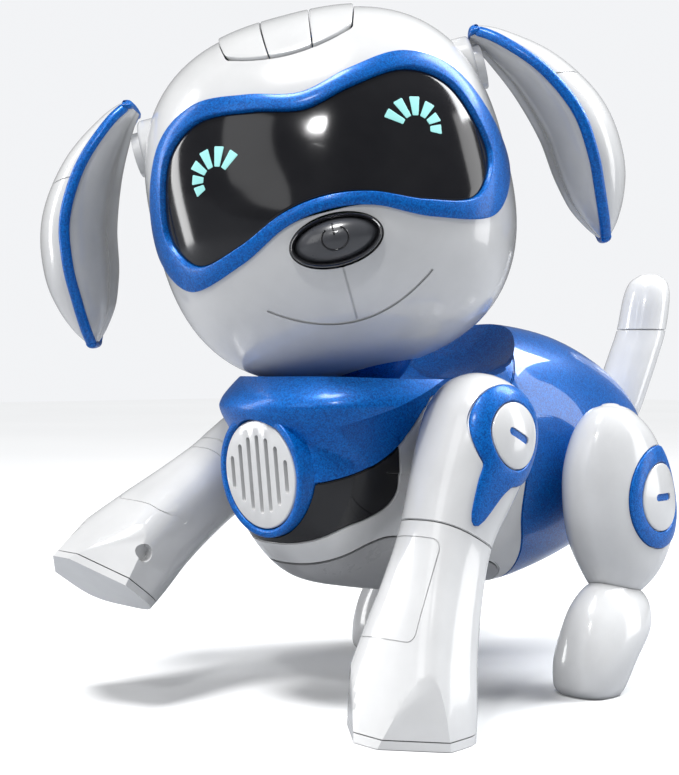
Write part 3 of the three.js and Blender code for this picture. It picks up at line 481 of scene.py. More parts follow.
BLUE_DARK, BLUE_LIGHT = (0.0, 0.09, 0.41), (0.0, 0.125, 0.53)
BLUE_FLAKE = {"scale": 2600.0, "share": 0.6, "dark": (0.0, 0.038, 0.17), "mid": (0.0, 0.11, 0.46),
              "bright": (0.0, 0.21, 0.7)}
LOOKS = {
    "white": moulded("white", (0.66, 0.663, 0.665), (0.72, 0.722, 0.724), 0.2, coat=0.7),
    "grey": moulded("grey", (0.37, 0.37, 0.375), (0.42, 0.42, 0.425), 0.28, coat=0.35),
    "ear_lining": moulded("ear_lining", (0.5, 0.505, 0.51), (0.58, 0.585, 0.59), 0.2, coat=0.8),
    "blue": moulded("blue", BLUE_DARK, BLUE_LIGHT, 0.36, texture=0.2, metallic=0.2, coat=0.22,
                    flake=BLUE_FLAKE, coat_roughness=0.15, specular=0.2),
    "blue_gloss": moulded("blue_gloss", BLUE_DARK, BLUE_LIGHT, 0.3, texture=0.1, metallic=0.2,
                          coat=0.8, flake=BLUE_FLAKE, coat_roughness=0.03, specular=0.2),
    "black": moulded("black", (0.006, 0.006, 0.008), (0.012, 0.012, 0.014), 0.1, texture=0.004),
    "nose": moulded("nose", (0.035, 0.037, 0.042), (0.06, 0.062, 0.07), 0.28, coat=0.5),
    "light": moulded("light", (0.24, 0.56, 0.54), (0.32, 0.66, 0.64), 0.35, glow=((0.3, 0.72, 0.7), 0.4)),
    "rubber": moulded("rubber", (0.02, 0.021, 0.023), (0.04, 0.041, 0.044), 0.7, texture=0.25, grain=2400.0),
    "steel": moulded("steel", (0.52, 0.53, 0.55), (0.64, 0.65, 0.67), 0.3, texture=0.1, metallic=1.0),
    "board": moulded("board", (0.01, 0.13, 0.04), (0.02, 0.2, 0.06), 0.45, texture=0.2),
    "cell": moulded("cell", (0.03, 0.13, 0.36), (0.05, 0.18, 0.45), 0.4),
}
SLOTS = {material["slot"] for material in frame["record"]["materials"]}
SLOT_OF = {"ear_lining": "grey", "blue_gloss": "blue"}


# ---------- head ----------

def head_level(x, z):
    """Where a point of the front view lies between the head's middle, 0, and its outline, 1."""
    across = np.abs(x / HEAD.width) ** HEAD.power + np.abs(z / HEAD.height) ** HEAD.power
    return across ** (HEAD.depth_power / HEAD.power)


def head_radius(way):
    """Distance from the head's middle to its surface in each direction, with the muzzle's bulge."""
    depth = np.where(way[:, 1] < 0, HEAD.front, HEAD.back)
    level = head_level(way[:, 0], way[:, 2]) + np.abs(way[:, 1] / depth) ** HEAD.depth_power
    away = (way[:, 0] ** 2 + (way[:, 2] - MUZZLE.drop) ** 2) / MUZZLE.spread ** 2
    bulge = np.where(way[:, 1] < 0, MUZZLE.size * np.exp(-away), 0)
    return level ** (-1 / HEAD.depth_power) + bulge


def on_head(points, offset):
    """Moves points along their lines from the head's middle onto its surface."""
    points = np.asarray(points, float)
    way = points / lengths(points)
    return way * (head_radius(way) + offset)[:, None]


def head_ball(offset, rows=90, around=120):
    """The whole head, grown or shrunk by the offset."""
    roll = circle(around)
    rings = []
    for polar in np.pi * np.arange(1, rows) / rows:
        way = columns(np.sin(polar) * np.cos(roll), np.full(around, -np.cos(polar)),
                      np.sin(polar) * np.sin(roll))
        rings.append(on_head(way, offset))
    return skin(rings)


def face_point(x, z):
    """Point of the face at (x, z) of the front view, before the muzzle is added."""
    x, z = np.asarray(x, float), np.asarray(z, float)
    left = np.maximum(1 - head_level(x, z), 0.0004)
    return np.stack([x, -HEAD.front * left ** (1 / HEAD.depth_power), z], axis=-1)


def face(x, z, offset):
    return on_head(face_point(x, z), offset)


def head_cone(ring):
    """Everything seen through a ring of points from the head's middle."""
    ring = np.asarray(ring, float)
    way = ring / lengths(ring)
    return skin([way * 0.5, way * 110.0])


def head_slice(y0, y1):
    return block(-90, 90, y0, y1, -90, 90)


def head_piece(name, shape, look):
    piece(name, shape, look, "head", HEAD_PLACE)


BEZEL_HALF = [(16, 30), (33, 32.5), (47.5, 25), (57, 6), (57.6, -9), (48, -22), (29, -19), (13, -12)]
GLASS_HALF = [(16, 24.8), (33, 27), (45.5, 20), (51.8, 4), (51.4, -7), (43.5, -16), (28, -13.6), (13, -8)]
BEZEL_MIDDLE = (26, -10)       # heights of an outline's top and bottom on the middle line
GLASS_MIDDLE = (21.2, -6.2)
OPENING_MIDDLE = (25.5, -10.6)
OPENING_SCALE = 0.985          # size of the opening in the shell, as a share of the bezel's
VISOR_CENTRE = np.array([0.0, 10.0])
VISOR_DEPTH = 2.4
HEAD_WALL = 2.0
POCKET_DEPTH = 3.4             # the visor and the touch keys sit in pockets this deep
FACE_CUT = (-70, -20)          # a front cutter runs between these depths
GLASS_SUNK = 0.5
EYE_SUNK = 0.38


def visor_outline(half, middle):
    right = [(0, middle[0])] + half + [(0, middle[1])]
    left = [(-x, z) for x, z in reversed(half)]
    return smoothed(right + left, 14, closed=True)


NOSE = Sizes(x=14.0, z=7.6, height=-20, depth=6.5, sunk=3.2, gap_x=1.1, gap_z=1.0, room=0.4)
NOSE_RIM = Sizes(half_width=0.75, half_depth=2.4, forward=1.2)
POWER_SIGN = Sizes(x=4.0, z=3.5, lift=0.2, arc=(125, 415), bar=(1.2, 4.6), wire=0.27, proud=0.05)
EYE = Sizes(x=31.5, z=7.5, inside=4.2, half=1.5, corner=0.35)
EYE_ARC = (-10, 140)
EYE_GUIDES = (3.4, 3.8, 5.2, 6.0, 6.2, 6.0)    # lengths, from the outer end of the arc
MOUTH = Sizes(half=26, low=-44, rise=9.5, width=0.7, deep=0.7, top=6)
BUTTON = Sizes(half=20, split=6.8, front=40, curve=4.5, back=12, sunk=3, long=48.0, proud=1.0, corner=0.8,
               cut_back=2.4, step=1.5)
BOSS = Sizes(x0=40, x1=57.0, x2=60.0, z=30, radius=11, step=7.5)
HEAD_SPLIT_Y = 3
REAR_PANEL = Sizes(start=-7, x=38, y=20, tilt=-30, z=27, height=30)


def button_surface(u, v, offset):
    """u runs across the head's top, v from its brow backwards."""
    brow = face_point(u, BUTTON.front + BUTTON.curve * (u / BUTTON.half) ** 2)
    level = HEAD.height - BUTTON.sunk
    back = columns(u, np.full_like(u, BUTTON.back), np.full_like(u, level))
    share = (v / BUTTON.long)[:, None]
    return on_head(brow + (back - brow) * share, offset)


def eye_guide(side, angle, long):
    """One bar of an eye, wider at its outer end, that points away from the middle of the arc."""
    reach = long / 2
    outline = rounded_box_outline(reach, EYE.half, EYE.corner, 4)
    outline[:, 1] *= 0.8 + 0.24 * outline[:, 0] / reach
    outline[:, 0] += EYE.inside + reach
    c, s = math.cos(angle), math.sin(angle)
    flat = columns(side * (EYE.x + outline[:, 0] * c - outline[:, 1] * s),
                   EYE.z + outline[:, 0] * s + outline[:, 1] * c)
    return plate(flat, flat.mean(axis=0), face, -EYE_SUNK, depth=1.2, lip=0.06, rings=4)


def build_face_parts():
    outer = visor_outline(BEZEL_HALF, BEZEL_MIDDLE)
    inner = visor_outline(GLASS_HALF, GLASS_MIDDLE)
    head_piece("visor_bezel", band(outer, inner, face, 1.0, depth=VISOR_DEPTH, crown=0.25), "blue")
    arm = inner - VISOR_CENTRE
    tight = VISOR_CENTRE + arm * (1 - SEAM / 2 / lengths(arm))
    glass = plate(tight, VISOR_CENTRE, face, -GLASS_SUNK, depth=VISOR_DEPTH, rings=22)
    head_piece("visor_glass", glass, "black")
    angles = np.radians(np.linspace(*EYE_ARC, len(EYE_GUIDES)))
    for name, side in SIDES.items():
        guides = [eye_guide(side, angle, long) for angle, long in zip(angles, EYE_GUIDES)]
        head_piece(f"{name}_eye_lights", joined(guides), "light")


def oval_surface(centre_y, half_x, half_z, depth):
    """Front of a squashed ball round the nose; offset thickens it."""
    def surface(x, z, offset):
        level = np.clip(1 - (x / half_x) ** 2 - ((z - NOSE.height) / half_z) ** 2, 0, 1)
        return columns(x, centre_y - (depth + offset) * np.sqrt(level), z)
    return surface


def nose_rim(front):
    angle = circle(72)
    width, depth = NOSE_RIM.half_width, NOSE_RIM.half_depth
    line = columns((NOSE.x - width) * np.cos(angle), np.full(72, front - NOSE_RIM.forward),
                   NOSE.height + (NOSE.z - width) * np.sin(angle))
    roll = circle(12)[:, None]
    rings = []
    for point, turn in zip(line, angle):
        way = np.array([math.cos(turn), 0, math.sin(turn)])
        rings.append(point + width * np.cos(roll) * way + depth * np.sin(roll) * np.array([0, 1, 0]))
    return skin(rings, closed=True)


def power_sign(surface):
    """Plain power sign in raised wire: an open ring and a bar."""
    turns = np.radians(np.linspace(*POWER_SIGN.arc, 40))
    arc_x = POWER_SIGN.x * np.cos(turns)
    arc_z = NOSE.height + POWER_SIGN.lift + POWER_SIGN.z * np.sin(turns)
    low, high = POWER_SIGN.bar
    bar_z = np.linspace(NOSE.height + low, NOSE.height + high, 8)
    return [tube(surface(x, z, POWER_SIGN.proud), POWER_SIGN.wire)
            for x, z in ((arc_x, arc_z), (np.zeros(8), bar_z))]


def build_nose():
    front = face_point(0, NOSE.height)[1] - NOSE.sunk
    half_x, half_z = NOSE.x - NOSE.gap_x, NOSE.z - NOSE.gap_z
    body = turned("y", [(math.cos(t), math.sin(t)) for t in np.linspace(-math.pi / 2, math.pi / 2, 40)])
    moved(body, shift(0, front, NOSE.height) @ Matrix.Diagonal((half_x, NOSE.depth, half_z, 1)))
    dark = joined([nose_rim(front), *power_sign(oval_surface(front, half_x, half_z, NOSE.depth))])
    piece("nose_button", body, "nose", "nose_button", HEAD_PLACE)
    piece("nose_rim", dark, "black", "nose_button", HEAD_PLACE, nodes=())


def build_touch_buttons():
    edges = (-BUTTON.half, -BUTTON.split, BUTTON.split, BUTTON.half)
    for name, x0, x1 in zip(("right", "middle", "left"), edges, edges[1:]):
        half_width = (x1 - x0 - SEAM) / 2
        outline = fine(rounded_box_outline(half_width, BUTTON.long / 2, BUTTON.corner), BUTTON.step)
        middle = np.array([(x0 + x1) / 2, BUTTON.long / 2])
        if name != "middle":
            # The outside corner of the front edge is cut back in a bigger round.
            near = (outline[:, 1] < 0) & (outline[:, 0] * np.sign(middle[0]) > 0)
            outline[near, 1] += BUTTON.cut_back * (np.abs(outline[near, 0]) / half_width) ** 3
        key = plate(outline + middle, middle, button_surface, BUTTON.proud, depth=1.4, lip=0.5, rings=12)
        piece(f"touch_button_{name}", key, "white", f"touch_button_{name}", HEAD_PLACE)


def button_pocket():
    outline = fine(rounded_box_outline(BUTTON.half + SEAM, BUTTON.long / 2 + SEAM, 1.2), BUTTON.step)
    outline[:, 1] += BUTTON.long / 2
    return head_cone(button_surface(outline[:, 0], outline[:, 1], 0.0))


def mouth_lines():
    """Cutters for the smile and the line that drops to it from the nose."""
    x = np.linspace(-MOUTH.half, MOUTH.half, 40)
    smile = columns(x, MOUTH.low + MOUTH.rise * (x / MOUTH.half) ** 2)
    floor = head_ball(-MOUTH.deep)
    line = cut(front_prism(ribbon(smile, MOUTH.width), *FACE_CUT), copy_of(floor))
    half = MOUTH.width / 2
    drop_line = cut(block(-half, half, *FACE_CUT, MOUTH.low, NOSE.height - MOUTH.top), floor)
    return line, drop_line


def build_head_shells():
    shell = head_ball(0.0)
    small = [(x * OPENING_SCALE, z * OPENING_SCALE) for x, z in BEZEL_HALF]
    opening = visor_outline(small, OPENING_MIDDLE)
    pocket = head_cone(face(opening[:, 0], opening[:, 1], 0.0))
    hollow = head_ball(-HEAD_WALL, 45, 60)
    deep = head_ball(-POCKET_DEPTH, 45, 60)
    cut(shell, cut(pocket, copy_of(deep)))
    cut(shell, cut(button_pocket(), deep))
    nose_size = Matrix.Diagonal((NOSE.x + NOSE.room, 1, NOSE.z + NOSE.room, 1))
    cut(shell, moved(drum("y", -70, -40, 1, around=72), shift(z=NOSE.height) @ nose_size))
    cut(shell, *mouth_lines(), hollow)
    for side in SIDES.values():
        cut(shell, moved(drum("x", 30, 70, BOSS.radius + SEAM), mirrored(side) @ shift(z=BOSS.z)))
    cut(shell, drum("z", -80, -20, NECK_BALL + 1))

    angle = circle(64)
    panel_ring = columns(REAR_PANEL.x * np.cos(angle),
                         REAR_PANEL.y + REAR_PANEL.tilt * np.sin(angle),
                         REAR_PANEL.z + REAR_PANEL.height * np.sin(angle))
    blue_zone = common(head_cone(panel_ring), head_slice(REAR_PANEL.start, 90))
    panel = common(copy_of(shell), blue_zone)
    wide = panel_ring * (1 + SEAM / HEAD.width)
    cut(shell, common(head_cone(wide), head_slice(REAR_PANEL.start - SEAM, 90)))
    rear = cut(copy_of(shell), head_slice(-90, HEAD_SPLIT_Y + SEAM))
    front = cut(shell, head_slice(HEAD_SPLIT_Y, 90))
    head_piece("head_face_shell", front, "white")
    head_piece("head_rear_shell", rear, "white")
    head_piece("head_rear_panel", panel, "blue")


def build_ear_bosses():
    for name, side in SIDES.items():
        stub = drum("x", BOSS.x0, BOSS.x1, BOSS.radius, lip=1.2)
        neck_part = drum("x", BOSS.x1 - 2, BOSS.x2, BOSS.step, lip=0.4)
        place = HEAD_PLACE @ mirrored(side) @ shift(z=BOSS.z)
        piece(f"{name}_ear_boss", joined([stub, neck_part]), "white", "head", place)


# ---------- ears ----------

# Station: [centre x, centre z, half thickness, half depth, centre y].
EAR = [
    [59, 41, 3.2, 7, 0], [66, 35, 6, 13, 2], [76.5, 22, 10.2, 21, 6], [84, 6, 13, 25, 9],
    [86, -9, 13.2, 24, 10], [86, -21, 10.6, 18, 9], [86, -30, 6, 10, 7], [86, -35.5, 1.4, 3, 6],
]
EAR_FLARE = {"left": 0, "right": 5}
EAR_RIM = 1.9
EAR_RIM_SLIM = 0.75  # the rim's width across the ear, as a share of its width through it
EAR_LINING = 0.95    # bulge and hollow of the lining, as shares of the ear's half thickness
EAR_HOLLOW = 0.25
EAR_POWER = 1.9      # roundness of a slice
EAR_SHORT = 0.35     # the shells end this far inside the rim's middle, and their flat backs further in
EAR_FLAT_SHORT = 1.6
OUTER_BACK = 1.0     # levels of the two flat backs, measured outwards from the ear's middle
LINING_BACK = -0.9
EAR_SEAM = Sizes(z=19, half=0.22, deep=0.45)    # line across the outer shell


def ear_rows():
    rows = smoothed(EAR, 8)
    along = np.gradient(rows[:, :2], axis=0)
    along /= lengths(along)
    return rows, columns(-along[:, 1], along[:, 0])


def ear_layer(section):
    """Skin through the ear. section(thick, deep) gives (out, across) points of one slice."""
    rows, normals = ear_rows()
    rings = []
    for (x, z, thick, deep, y), way in zip(rows, normals):
        out, across = section(thick, deep)
        rings.append(columns(x + way[0] * out, y + across, z + way[1] * out))
    return skin(rings)


def outer_section(thick, deep):
    turn = np.linspace(-math.pi / 2, math.pi / 2, 33)
    out, across = oval(turn, thick, deep - EAR_SHORT, EAR_POWER)
    flat = np.linspace(deep - EAR_FLAT_SHORT, EAR_FLAT_SHORT - deep, 17)
    out = np.concatenate([np.maximum(out, OUTER_BACK), np.full(17, OUTER_BACK)])
    return out, np.concatenate([across, flat])


def seam_floor(thick, deep):
    return outer_section(max(thick - EAR_SEAM.deep, 0.5), max(deep - EAR_SEAM.deep, 0.5))


def lining_section(thick, deep):
    """The lining bulges towards the head, with a soft hollow along its middle."""
    turn = np.linspace(math.pi / 2, 3 * math.pi / 2, 33)
    out, across = oval(turn, EAR_LINING * thick, deep - EAR_SHORT, EAR_POWER)
    hollow = EAR_HOLLOW * thick * np.exp(-(across / (0.45 * deep)) ** 2)
    flat = np.linspace(EAR_FLAT_SHORT - deep, deep - EAR_FLAT_SHORT, 17)
    out = np.concatenate([np.minimum(out + hollow, LINING_BACK), np.full(17, LINING_BACK)])
    return out, np.concatenate([across, flat])


def ear_rim():
    """Rod round the edge of the ear, slimmer across the ear than through it."""
    x, z, deep, y = (ear_rows()[0][:, n] for n in (0, 1, 3, 4))
    front = columns(x, y - deep, z)
    back = columns(x, y + deep, z)
    path = smoothed(np.concatenate([front, back[::-1]])[::2], 3, closed=True)
    middle = path.mean(axis=0)
    roll = circle(16)[:, None]
    rings = []
    for point, way in zip(path, np.gradient(path, axis=0)):
        way = way / np.linalg.norm(way)
        inward = middle - point
        inward -= way * np.dot(inward, way)
        inward /= np.linalg.norm(inward)
        through = np.cross(way, inward)
        rings.append(point + EAR_RIM * (EAR_RIM_SLIM * np.cos(roll) * inward + np.sin(roll) * through))
    return skin(rings, closed=True)


def build_ears():
    for name, side in SIDES.items():
        body = f"{name}_ear"
        flare = shift(z=BOSS.z) @ spin("Y", -EAR_FLARE[name]) @ shift(z=-BOSS.z)
        place = HEAD_PLACE @ mirrored(side) @ flare
        outer = ear_layer(outer_section)
        seam = block(50, 130, -60, 80, EAR_SEAM.z - EAR_SEAM.half, EAR_SEAM.z + EAR_SEAM.half)
        cut(outer, cut(seam, ear_layer(seam_floor)))
        piece(f"{name}_ear_outer", outer, "white", body, place)
        piece(f"{name}_ear_inner", ear_layer(lining_section), "ear_lining", body, place)
        piece(f"{name}_ear_rim", ear_rim(), "blue", body, place)


# ---------- torso ----------

ALONG_Y = (0, 2, 1)    # order of the axes of a form whose stations follow y
# Station along the body: [y, centre x, centre z, half width, half height, power].
CORE = [
    [-94.5, 0, 77, 17, 19, 2.1], [-91, 0, 77, 21.5, 26, 2.2], [-80, 0, 76.5, 25.4, 35, 2.3],
    [-62, 0, 76, 26, 39, 2.4], [-42, 0, 76, 26, 42, 2.4], [-26, 0, 77, 28, 44, 2.4],
    [-12, 0, 78.5, 33, 45.5, 2.4], [5, 0, 79.5, 33, 46, 2.4], [30, 0, 80.5, 32, 42, 2.3],
    [52, 0, 80.5, 29, 35, 2.2], [70, 0, 81, 23, 25.5, 2.1], [82, 0, 82, 15, 15, 2.0],
    [87, 0, 82.5, 7, 7, 2.0],
]
# Station up the cape round the neck: [z, centre x, centre y, half width, half depth, power].
CAPE = [
    [62, 0, -62, 17, 30, 2.2], [74, 0, -60, 25, 35.5, 2.2], [86, 0, -56, 34, 42.5, 2.2],
    [95, 0, -52.5, 42, 49.5, 2.2], [99, 0, -51, 43.5, 50.5, 2.2], [104, 0, -49, 42, 48, 2.2],
    [110, 0, -46, 38.5, 44.5, 2.2], [116, 0, -42, 35, 42, 2.2], [122, 0, -34, 26, 32, 2.2],
]
WALL = 2.0
SHOULDER = Sizes(x=45, y=-46, z=88)
HIP = Sizes(x=47, y=31, z=65)
AXLE_HOLE = 4.6
WELL = Sizes(radius=20.6, inner=26.6, outer=95, swing=66, reach=120, low=-10)
BOWL_TOP = 170
BOWL = [(0, 103.5), (30, 103.5), (42, 106), (50, 111), (54, 117), (57, 122), (60, 129),
        (61, BOWL_TOP), (0, BOWL_TOP)]
NECK_POST = Sizes(radius=8.0, rim=0.6, low=-19, hole=9.2)
GRILLE = Sizes(y=-96, z=76, radius=17.6, ring=20.2, tip=6, disc=(-1.9, 1.2), ring_base=-1.2)
SLOT = Sizes(count=7, pitch=4.4, half_width=0.9, corner=0.89, half=12.5, shorter=0.8)

# Lines of the side view, (y, z), where one torso moulding ends and the next begins.
BIB_LINE = [(-120, 73), (-96, 73.5), (-86, 75), (-74, 78.5), (-64, 83.5), (-57, 89.5), (-50, 97), (-44, 101)]
SADDLE_LINE = [(-16, 101.5), (-4, 118), (4, 140)]
BACK_LINE = [(-16, 101.5), (-10, 90), (-8, 78), (-9, 60), (-3, 45), (4, 25)]
PANEL_LINE = [(-120, 53), (-97, 53.5), (-90, 55.5), (-82, 60), (-74, 62.5), (-67, 65.5),
              (-62.8, 70), (-62, 76), (-62.4, 84.6)]
TRIM_LINE = [(-120, 45), (-98, 46), (-88, 47), (-80, 50), (-70, 54.5), (-60, 55.5), (-40, 52), (-24, 46),
             (-9, 40), (4, 25)]
PANEL_TOP = 86         # the chest panel reaches up to the bib's line below this height
GROOVE = Sizes(width=0.9, deep=0.35)    # down to this depth a line is wider than its seam
DOOR = Sizes(x=17, y0=4, y1=46, z1=47)
SCREW = Sizes(y=40, radius=2.2, z=39.2, slot_deep=0.7, slot_half=0.3)
SWITCH = Sizes(y=-30, long=5.5, half=3)
KNOB = Sizes(x=2.5, y=2.4, corner=0.6, low=32.8, high=39.5, grip_pitch=1.4, grip_half=0.25, grip_top=33.3)


def torso_piece(name, shape, look):
    piece(name, shape, look, "torso", TORSO_PLACE)


def wells(extra):
    """Room round both front legs through their whole swing."""
    radius = WELL.radius + extra
    swing = math.radians(WELL.swing)
    turns = np.linspace(math.pi - swing, 0, 25)
    outline = [(SHOULDER.y + radius * math.cos(t), SHOULDER.z + radius * math.sin(t)) for t in turns]
    start_y, start_z = outline[0]
    ahead_y = start_y - WELL.reach * math.sin(swing)
    ahead_z = start_z - WELL.reach * math.cos(swing)
    outline += [(SHOULDER.y + radius, WELL.low), (ahead_y, WELL.low), (ahead_y, ahead_z)]
    inner = WELL.inner - extra
    return [moved(side_prism(outline, inner, WELL.outer), mirrored(side)) for side in SIDES.values()]


def bowl(extra):
    """Room over the torso for the head."""
    profile = [(r + extra if r else 0, z if z == BOWL_TOP else z - extra) for r, z in BOWL]
    return moved(turned("z", profile), shift(y=NECK_Y))


def torso_core(inset):
    core = add(loft(CORE, 96, 6, inset, order=ALONG_Y), loft(CAPE, 96, 6, inset))
    return cut(core, *wells(inset), bowl(inset))


def tipped(shape):
    """Moves a shape from the origin to the grille's place on the chest."""
    return moved(shape, shift(y=GRILLE.y, z=GRILLE.z) @ spin("X", GRILLE.tip))


def torso_seam(line, width, floor=None):
    wall = side_prism(ribbon(smoothed(line, 6), width, ends=3))
    return cut(wall, copy_of(floor)) if floor else wall


def build_grille():
    """Adds the slotted grille and returns the ring round it, which belongs to the collar."""
    disc = drum("y", *GRILLE.disc, GRILLE.radius - SEAM, lip=0.6, around=128)
    middle = SLOT.count // 2
    for k in range(-middle, middle + 1):
        half_height = SLOT.half - SLOT.shorter * k * k
        outline = rounded_box_outline(SLOT.half_width, half_height, SLOT.corner, 6)
        cut(disc, front_prism(outline + (SLOT.pitch * k, 0), -10, 10))
    torso_piece("speaker_grille", tipped(disc), "white")

    def flat(x, z, offset):
        return columns(x, np.full_like(x, GRILLE.ring_base) - offset, z)

    angle = circle(128)
    outer, inner = (columns(r * np.cos(angle), r * np.sin(angle))
                    for r in (GRILLE.ring, GRILLE.radius))
    return tipped(band(outer, inner, flat, 0.9, depth=7, lip=0.9, rings=3))


def build_torso():
    shell = torso_core(0)
    near_surface = torso_core(GROOVE.deep)
    cut(shell, torso_core(WALL))
    lines = {"bib": BIB_LINE + SADDLE_LINE, "back": BACK_LINE, "panel": PANEL_LINE, "trim": TRIM_LINE}
    for line in lines.values():
        cut(shell, torso_seam(line, GROOVE.width, near_surface), torso_seam(line, SEAM))
    drop(near_surface)
    for place in (SHOULDER, HIP):
        cut(shell, moved(drum("x", -60, 60, AXLE_HOLE, around=32), shift(y=place.y, z=place.z)))

    smooth = {name: [tuple(p) for p in smoothed(line, 6)] for name, line in lines.items()}
    under_bib = [p for p in smooth["bib"] if p[1] < PANEL_TOP]
    collar_zone = side_prism(smooth["bib"] + [(4, 170), (-120, 170)])
    back_zone = side_prism([(4, 140), (-4, 118)] + smooth["back"] + [(120, 25), (120, 140)])
    panel_zone = side_prism(smooth["panel"] + under_bib[::-1])
    below_trim = side_prism(smooth["trim"] + [(4, -20), (-120, -20)])

    ring_gap = tipped(drum("y", -10, 20, GRILLE.ring + SEAM))
    grille_pocket = tipped(drum("y", -10, 20, GRILLE.radius + 0.1))
    collar = common(copy_of(shell), collar_zone, keep=True)
    cut(collar, grille_pocket, moved(drum("z", 60, 140, NECK_POST.hole), shift(y=NECK_Y)))
    torso_piece("chest_collar", joined([collar, build_grille()]), "blue")
    cut(shell, collar_zone, ring_gap)
    torso_piece("chest_panel", common(copy_of(shell), panel_zone, keep=True), "black")
    cut(shell, panel_zone)
    back = common(copy_of(shell), back_zone, keep=True)
    cut(shell, back_zone)
    torso_piece("chest_trim", cut(copy_of(shell), below_trim, keep=True), "white")
    y0, y1 = SWITCH.y - SWITCH.half, SWITCH.y + SWITCH.half
    slot = block(-SWITCH.long, SWITCH.long, y0, y1, 20, 50)
    torso_piece("belly_shell", cut(common(shell, below_trim), slot), "grey")
    build_back(back)


def build_back(back):
    """Splits the battery door from the back and leaves room for the tail and the turned head."""
    door_zone = block(-DOOR.x, DOOR.x, DOOR.y0, DOOR.y1, 0, DOOR.z1)
    door = common(copy_of(back), door_zone)
    cut(door, moved(drum("z", 0, 60, SCREW.radius, around=32), shift(y=SCREW.y)))
    torso_piece("battery_door", door, "blue_gloss")
    across = DOOR.x + SEAM
    cut(back, block(-across, across, DOOR.y0 - SEAM, DOOR.y1 + SEAM, 0, DOOR.z1))
    for angle in (-TAIL.swing, 0, TAIL.swing):
        swing = shift(y=TAIL.y, z=TAIL.z) @ spin("X", angle) @ shift(y=-TAIL.y, z=-TAIL.z)
        cut(back, moved(loft(TAIL_STATIONS, 48, 6, inset=-TAIL.gap, dome=TAIL.dome), swing))
    farthest_turn, lowest_lean = (JOINTS[name]["range_deg"][0] for name in ("neck_turn", "head_lean"))
    # The turned head comes nearest to the back over the last part of the neck's range.
    for share in (0.7, 0.85, 1.0):
        head_place = TORSO_PLACE.inverted() @ head_at(share * farthest_turn, lowest_lean)
        cut(back, moved(head_ball(HEAD_ROOM), head_place))
    torso_piece("back_shell", back, "blue_gloss")

    screw = drum("z", SCREW.z, 50, SCREW.radius - SEAM, lip=0.4, around=48)
    half, top = SCREW.slot_half, SCREW.z + SCREW.slot_deep
    cut(screw, block(-3, 3, -half, half, 38, top), block(-half, half, -3, 3, 38, top))
    torso_piece("door_screw", moved(screw, shift(y=SCREW.y)), "steel")


def build_switch():
    outline = rounded_box_outline(KNOB.x, KNOB.y, KNOB.corner) + (0, SWITCH.y)
    knob = prism(*([(x, y, z) for x, y in outline] for z in (KNOB.low, KNOB.high)))
    base = block(-8, 8, SWITCH.y - 5, SWITCH.y + 5, 38.5, 41)
    for k in (-1, 0, 1):
        x0, x1 = (k * KNOB.grip_pitch + side * KNOB.grip_half for side in (-1, 1))
        cut(knob, block(x0, x1, SWITCH.y - 4, SWITCH.y + 4, 30, KNOB.grip_top))
    piece("power_switch", add(knob, base), "rubber", "power_switch", TORSO_PLACE)


def build_neck():
    turns = np.linspace(-1.35, math.pi / 2, 48)
    ball = [(NECK_BALL * math.cos(t), NECK_BALL * math.sin(t)) for t in turns]
    ball[0] = (NECK_POST.radius, ball[0][1])
    rim, low = NECK_POST.rim, NECK_POST.low
    post = [(0, low), (NECK_POST.radius - rim, low), (NECK_POST.radius, low + rim)]
    shape = moved(turned("z", post + ball, 72), shift(0, NECK_Y, pivot("head_lean").z))
    piece("neck_ball", shape, "blue", "neck", TORSO_PLACE)


# ---------- legs ----------

# Front leg with its shoulder at the origin and its foot downwards: [z, x, y, half width, half depth, power].
FRONT_LEG = [
    [18.6, 0, 0, 5, 6, 2.1], [16.8, 0, 0, 9.5, 10.5, 2.2], [12, 0, 0, 13.6, 15, 2.3],
    [4, 0, 0, 16, 17.6, 2.4], [-6, 0, 0, 16.4, 17.6, 2.4], [-18, 0, -0.5, 15, 16, 2.5],
    [-29, 0, -1, 13.4, 14, 2.7], [-38, 0, -0.5, 13, 13, 2.9], [-52, 0, 0.5, 14.4, 12.8, 3.2],
    [-68, 0, 2, 17, 13.2, 3.6], [-84, 0, 4.5, 20, 14, 4], [-106, 0, 7.5, 23, 15, 4],
]
FRONT_DOME = 1.0
FRONT_RING = Sizes(outer=15.6, inner=10.4)
SPIKE = [(-8.5, -10), (8.5, -10), (4, -16), (1.4, -20), (-1.6, -31), (-3.4, -32.2), (-6, -31), (-8.6, -18)]
FRONT_SPLAY = 2
KNEE = -34
SHIN = Sizes(x=-3.5, z=-55, wide=13, half=16, radius=3, line=0.45, deep=0.4)
PAW_CUT = Sizes(x=19.0, y=-5.0, z=-80, normal=(0.62, -0.74, -0.30))
PAW_HOLE = Sizes(face=-20, y=-1, z=-84, radius=2.9, deep=4)
PAD_TOP = 2.4

# Rear thigh round its hip, and the boot below it in torso coordinates.
THIGH = [
    [31.5, 1, -13, 2.5, 4, 2], [29.3, 1, -13, 6.5, 9.5, 2.1], [22, 0.5, -11, 10.8, 16.5, 2.2],
    [10, 0, -8.5, 13, 22.5, 2.3], [-3, 0, -6.5, 13.5, 24.6, 2.3], [-15, 0, -5.5, 13, 22.5, 2.3],
    [-25, 0.5, -6, 11, 17, 2.2], [-32, 1, -8, 7, 11, 2.1], [-35, 1, -9, 3, 5, 2],
]
BOOT = [
    [0, 50, 4.5, 9.6, 9.5, 2.6], [3, 50, 4.5, 11, 11.6, 2.6], [11, 50, 7.5, 12, 14.6, 2.5],
    [20, 50, 13, 11.6, 18, 2.4], [28, 49.5, 16, 10, 17, 2.3], [34, 49, 17, 7, 12, 2.2], [37, 49, 18, 4, 7, 2],
]
THIGH_DOME = 0.8
HEEL_CUT = [(13, 0), (80, -10), (80, 60), (62, 49)]
REAR_RING = Sizes(outer=17.6, inner=11.8)
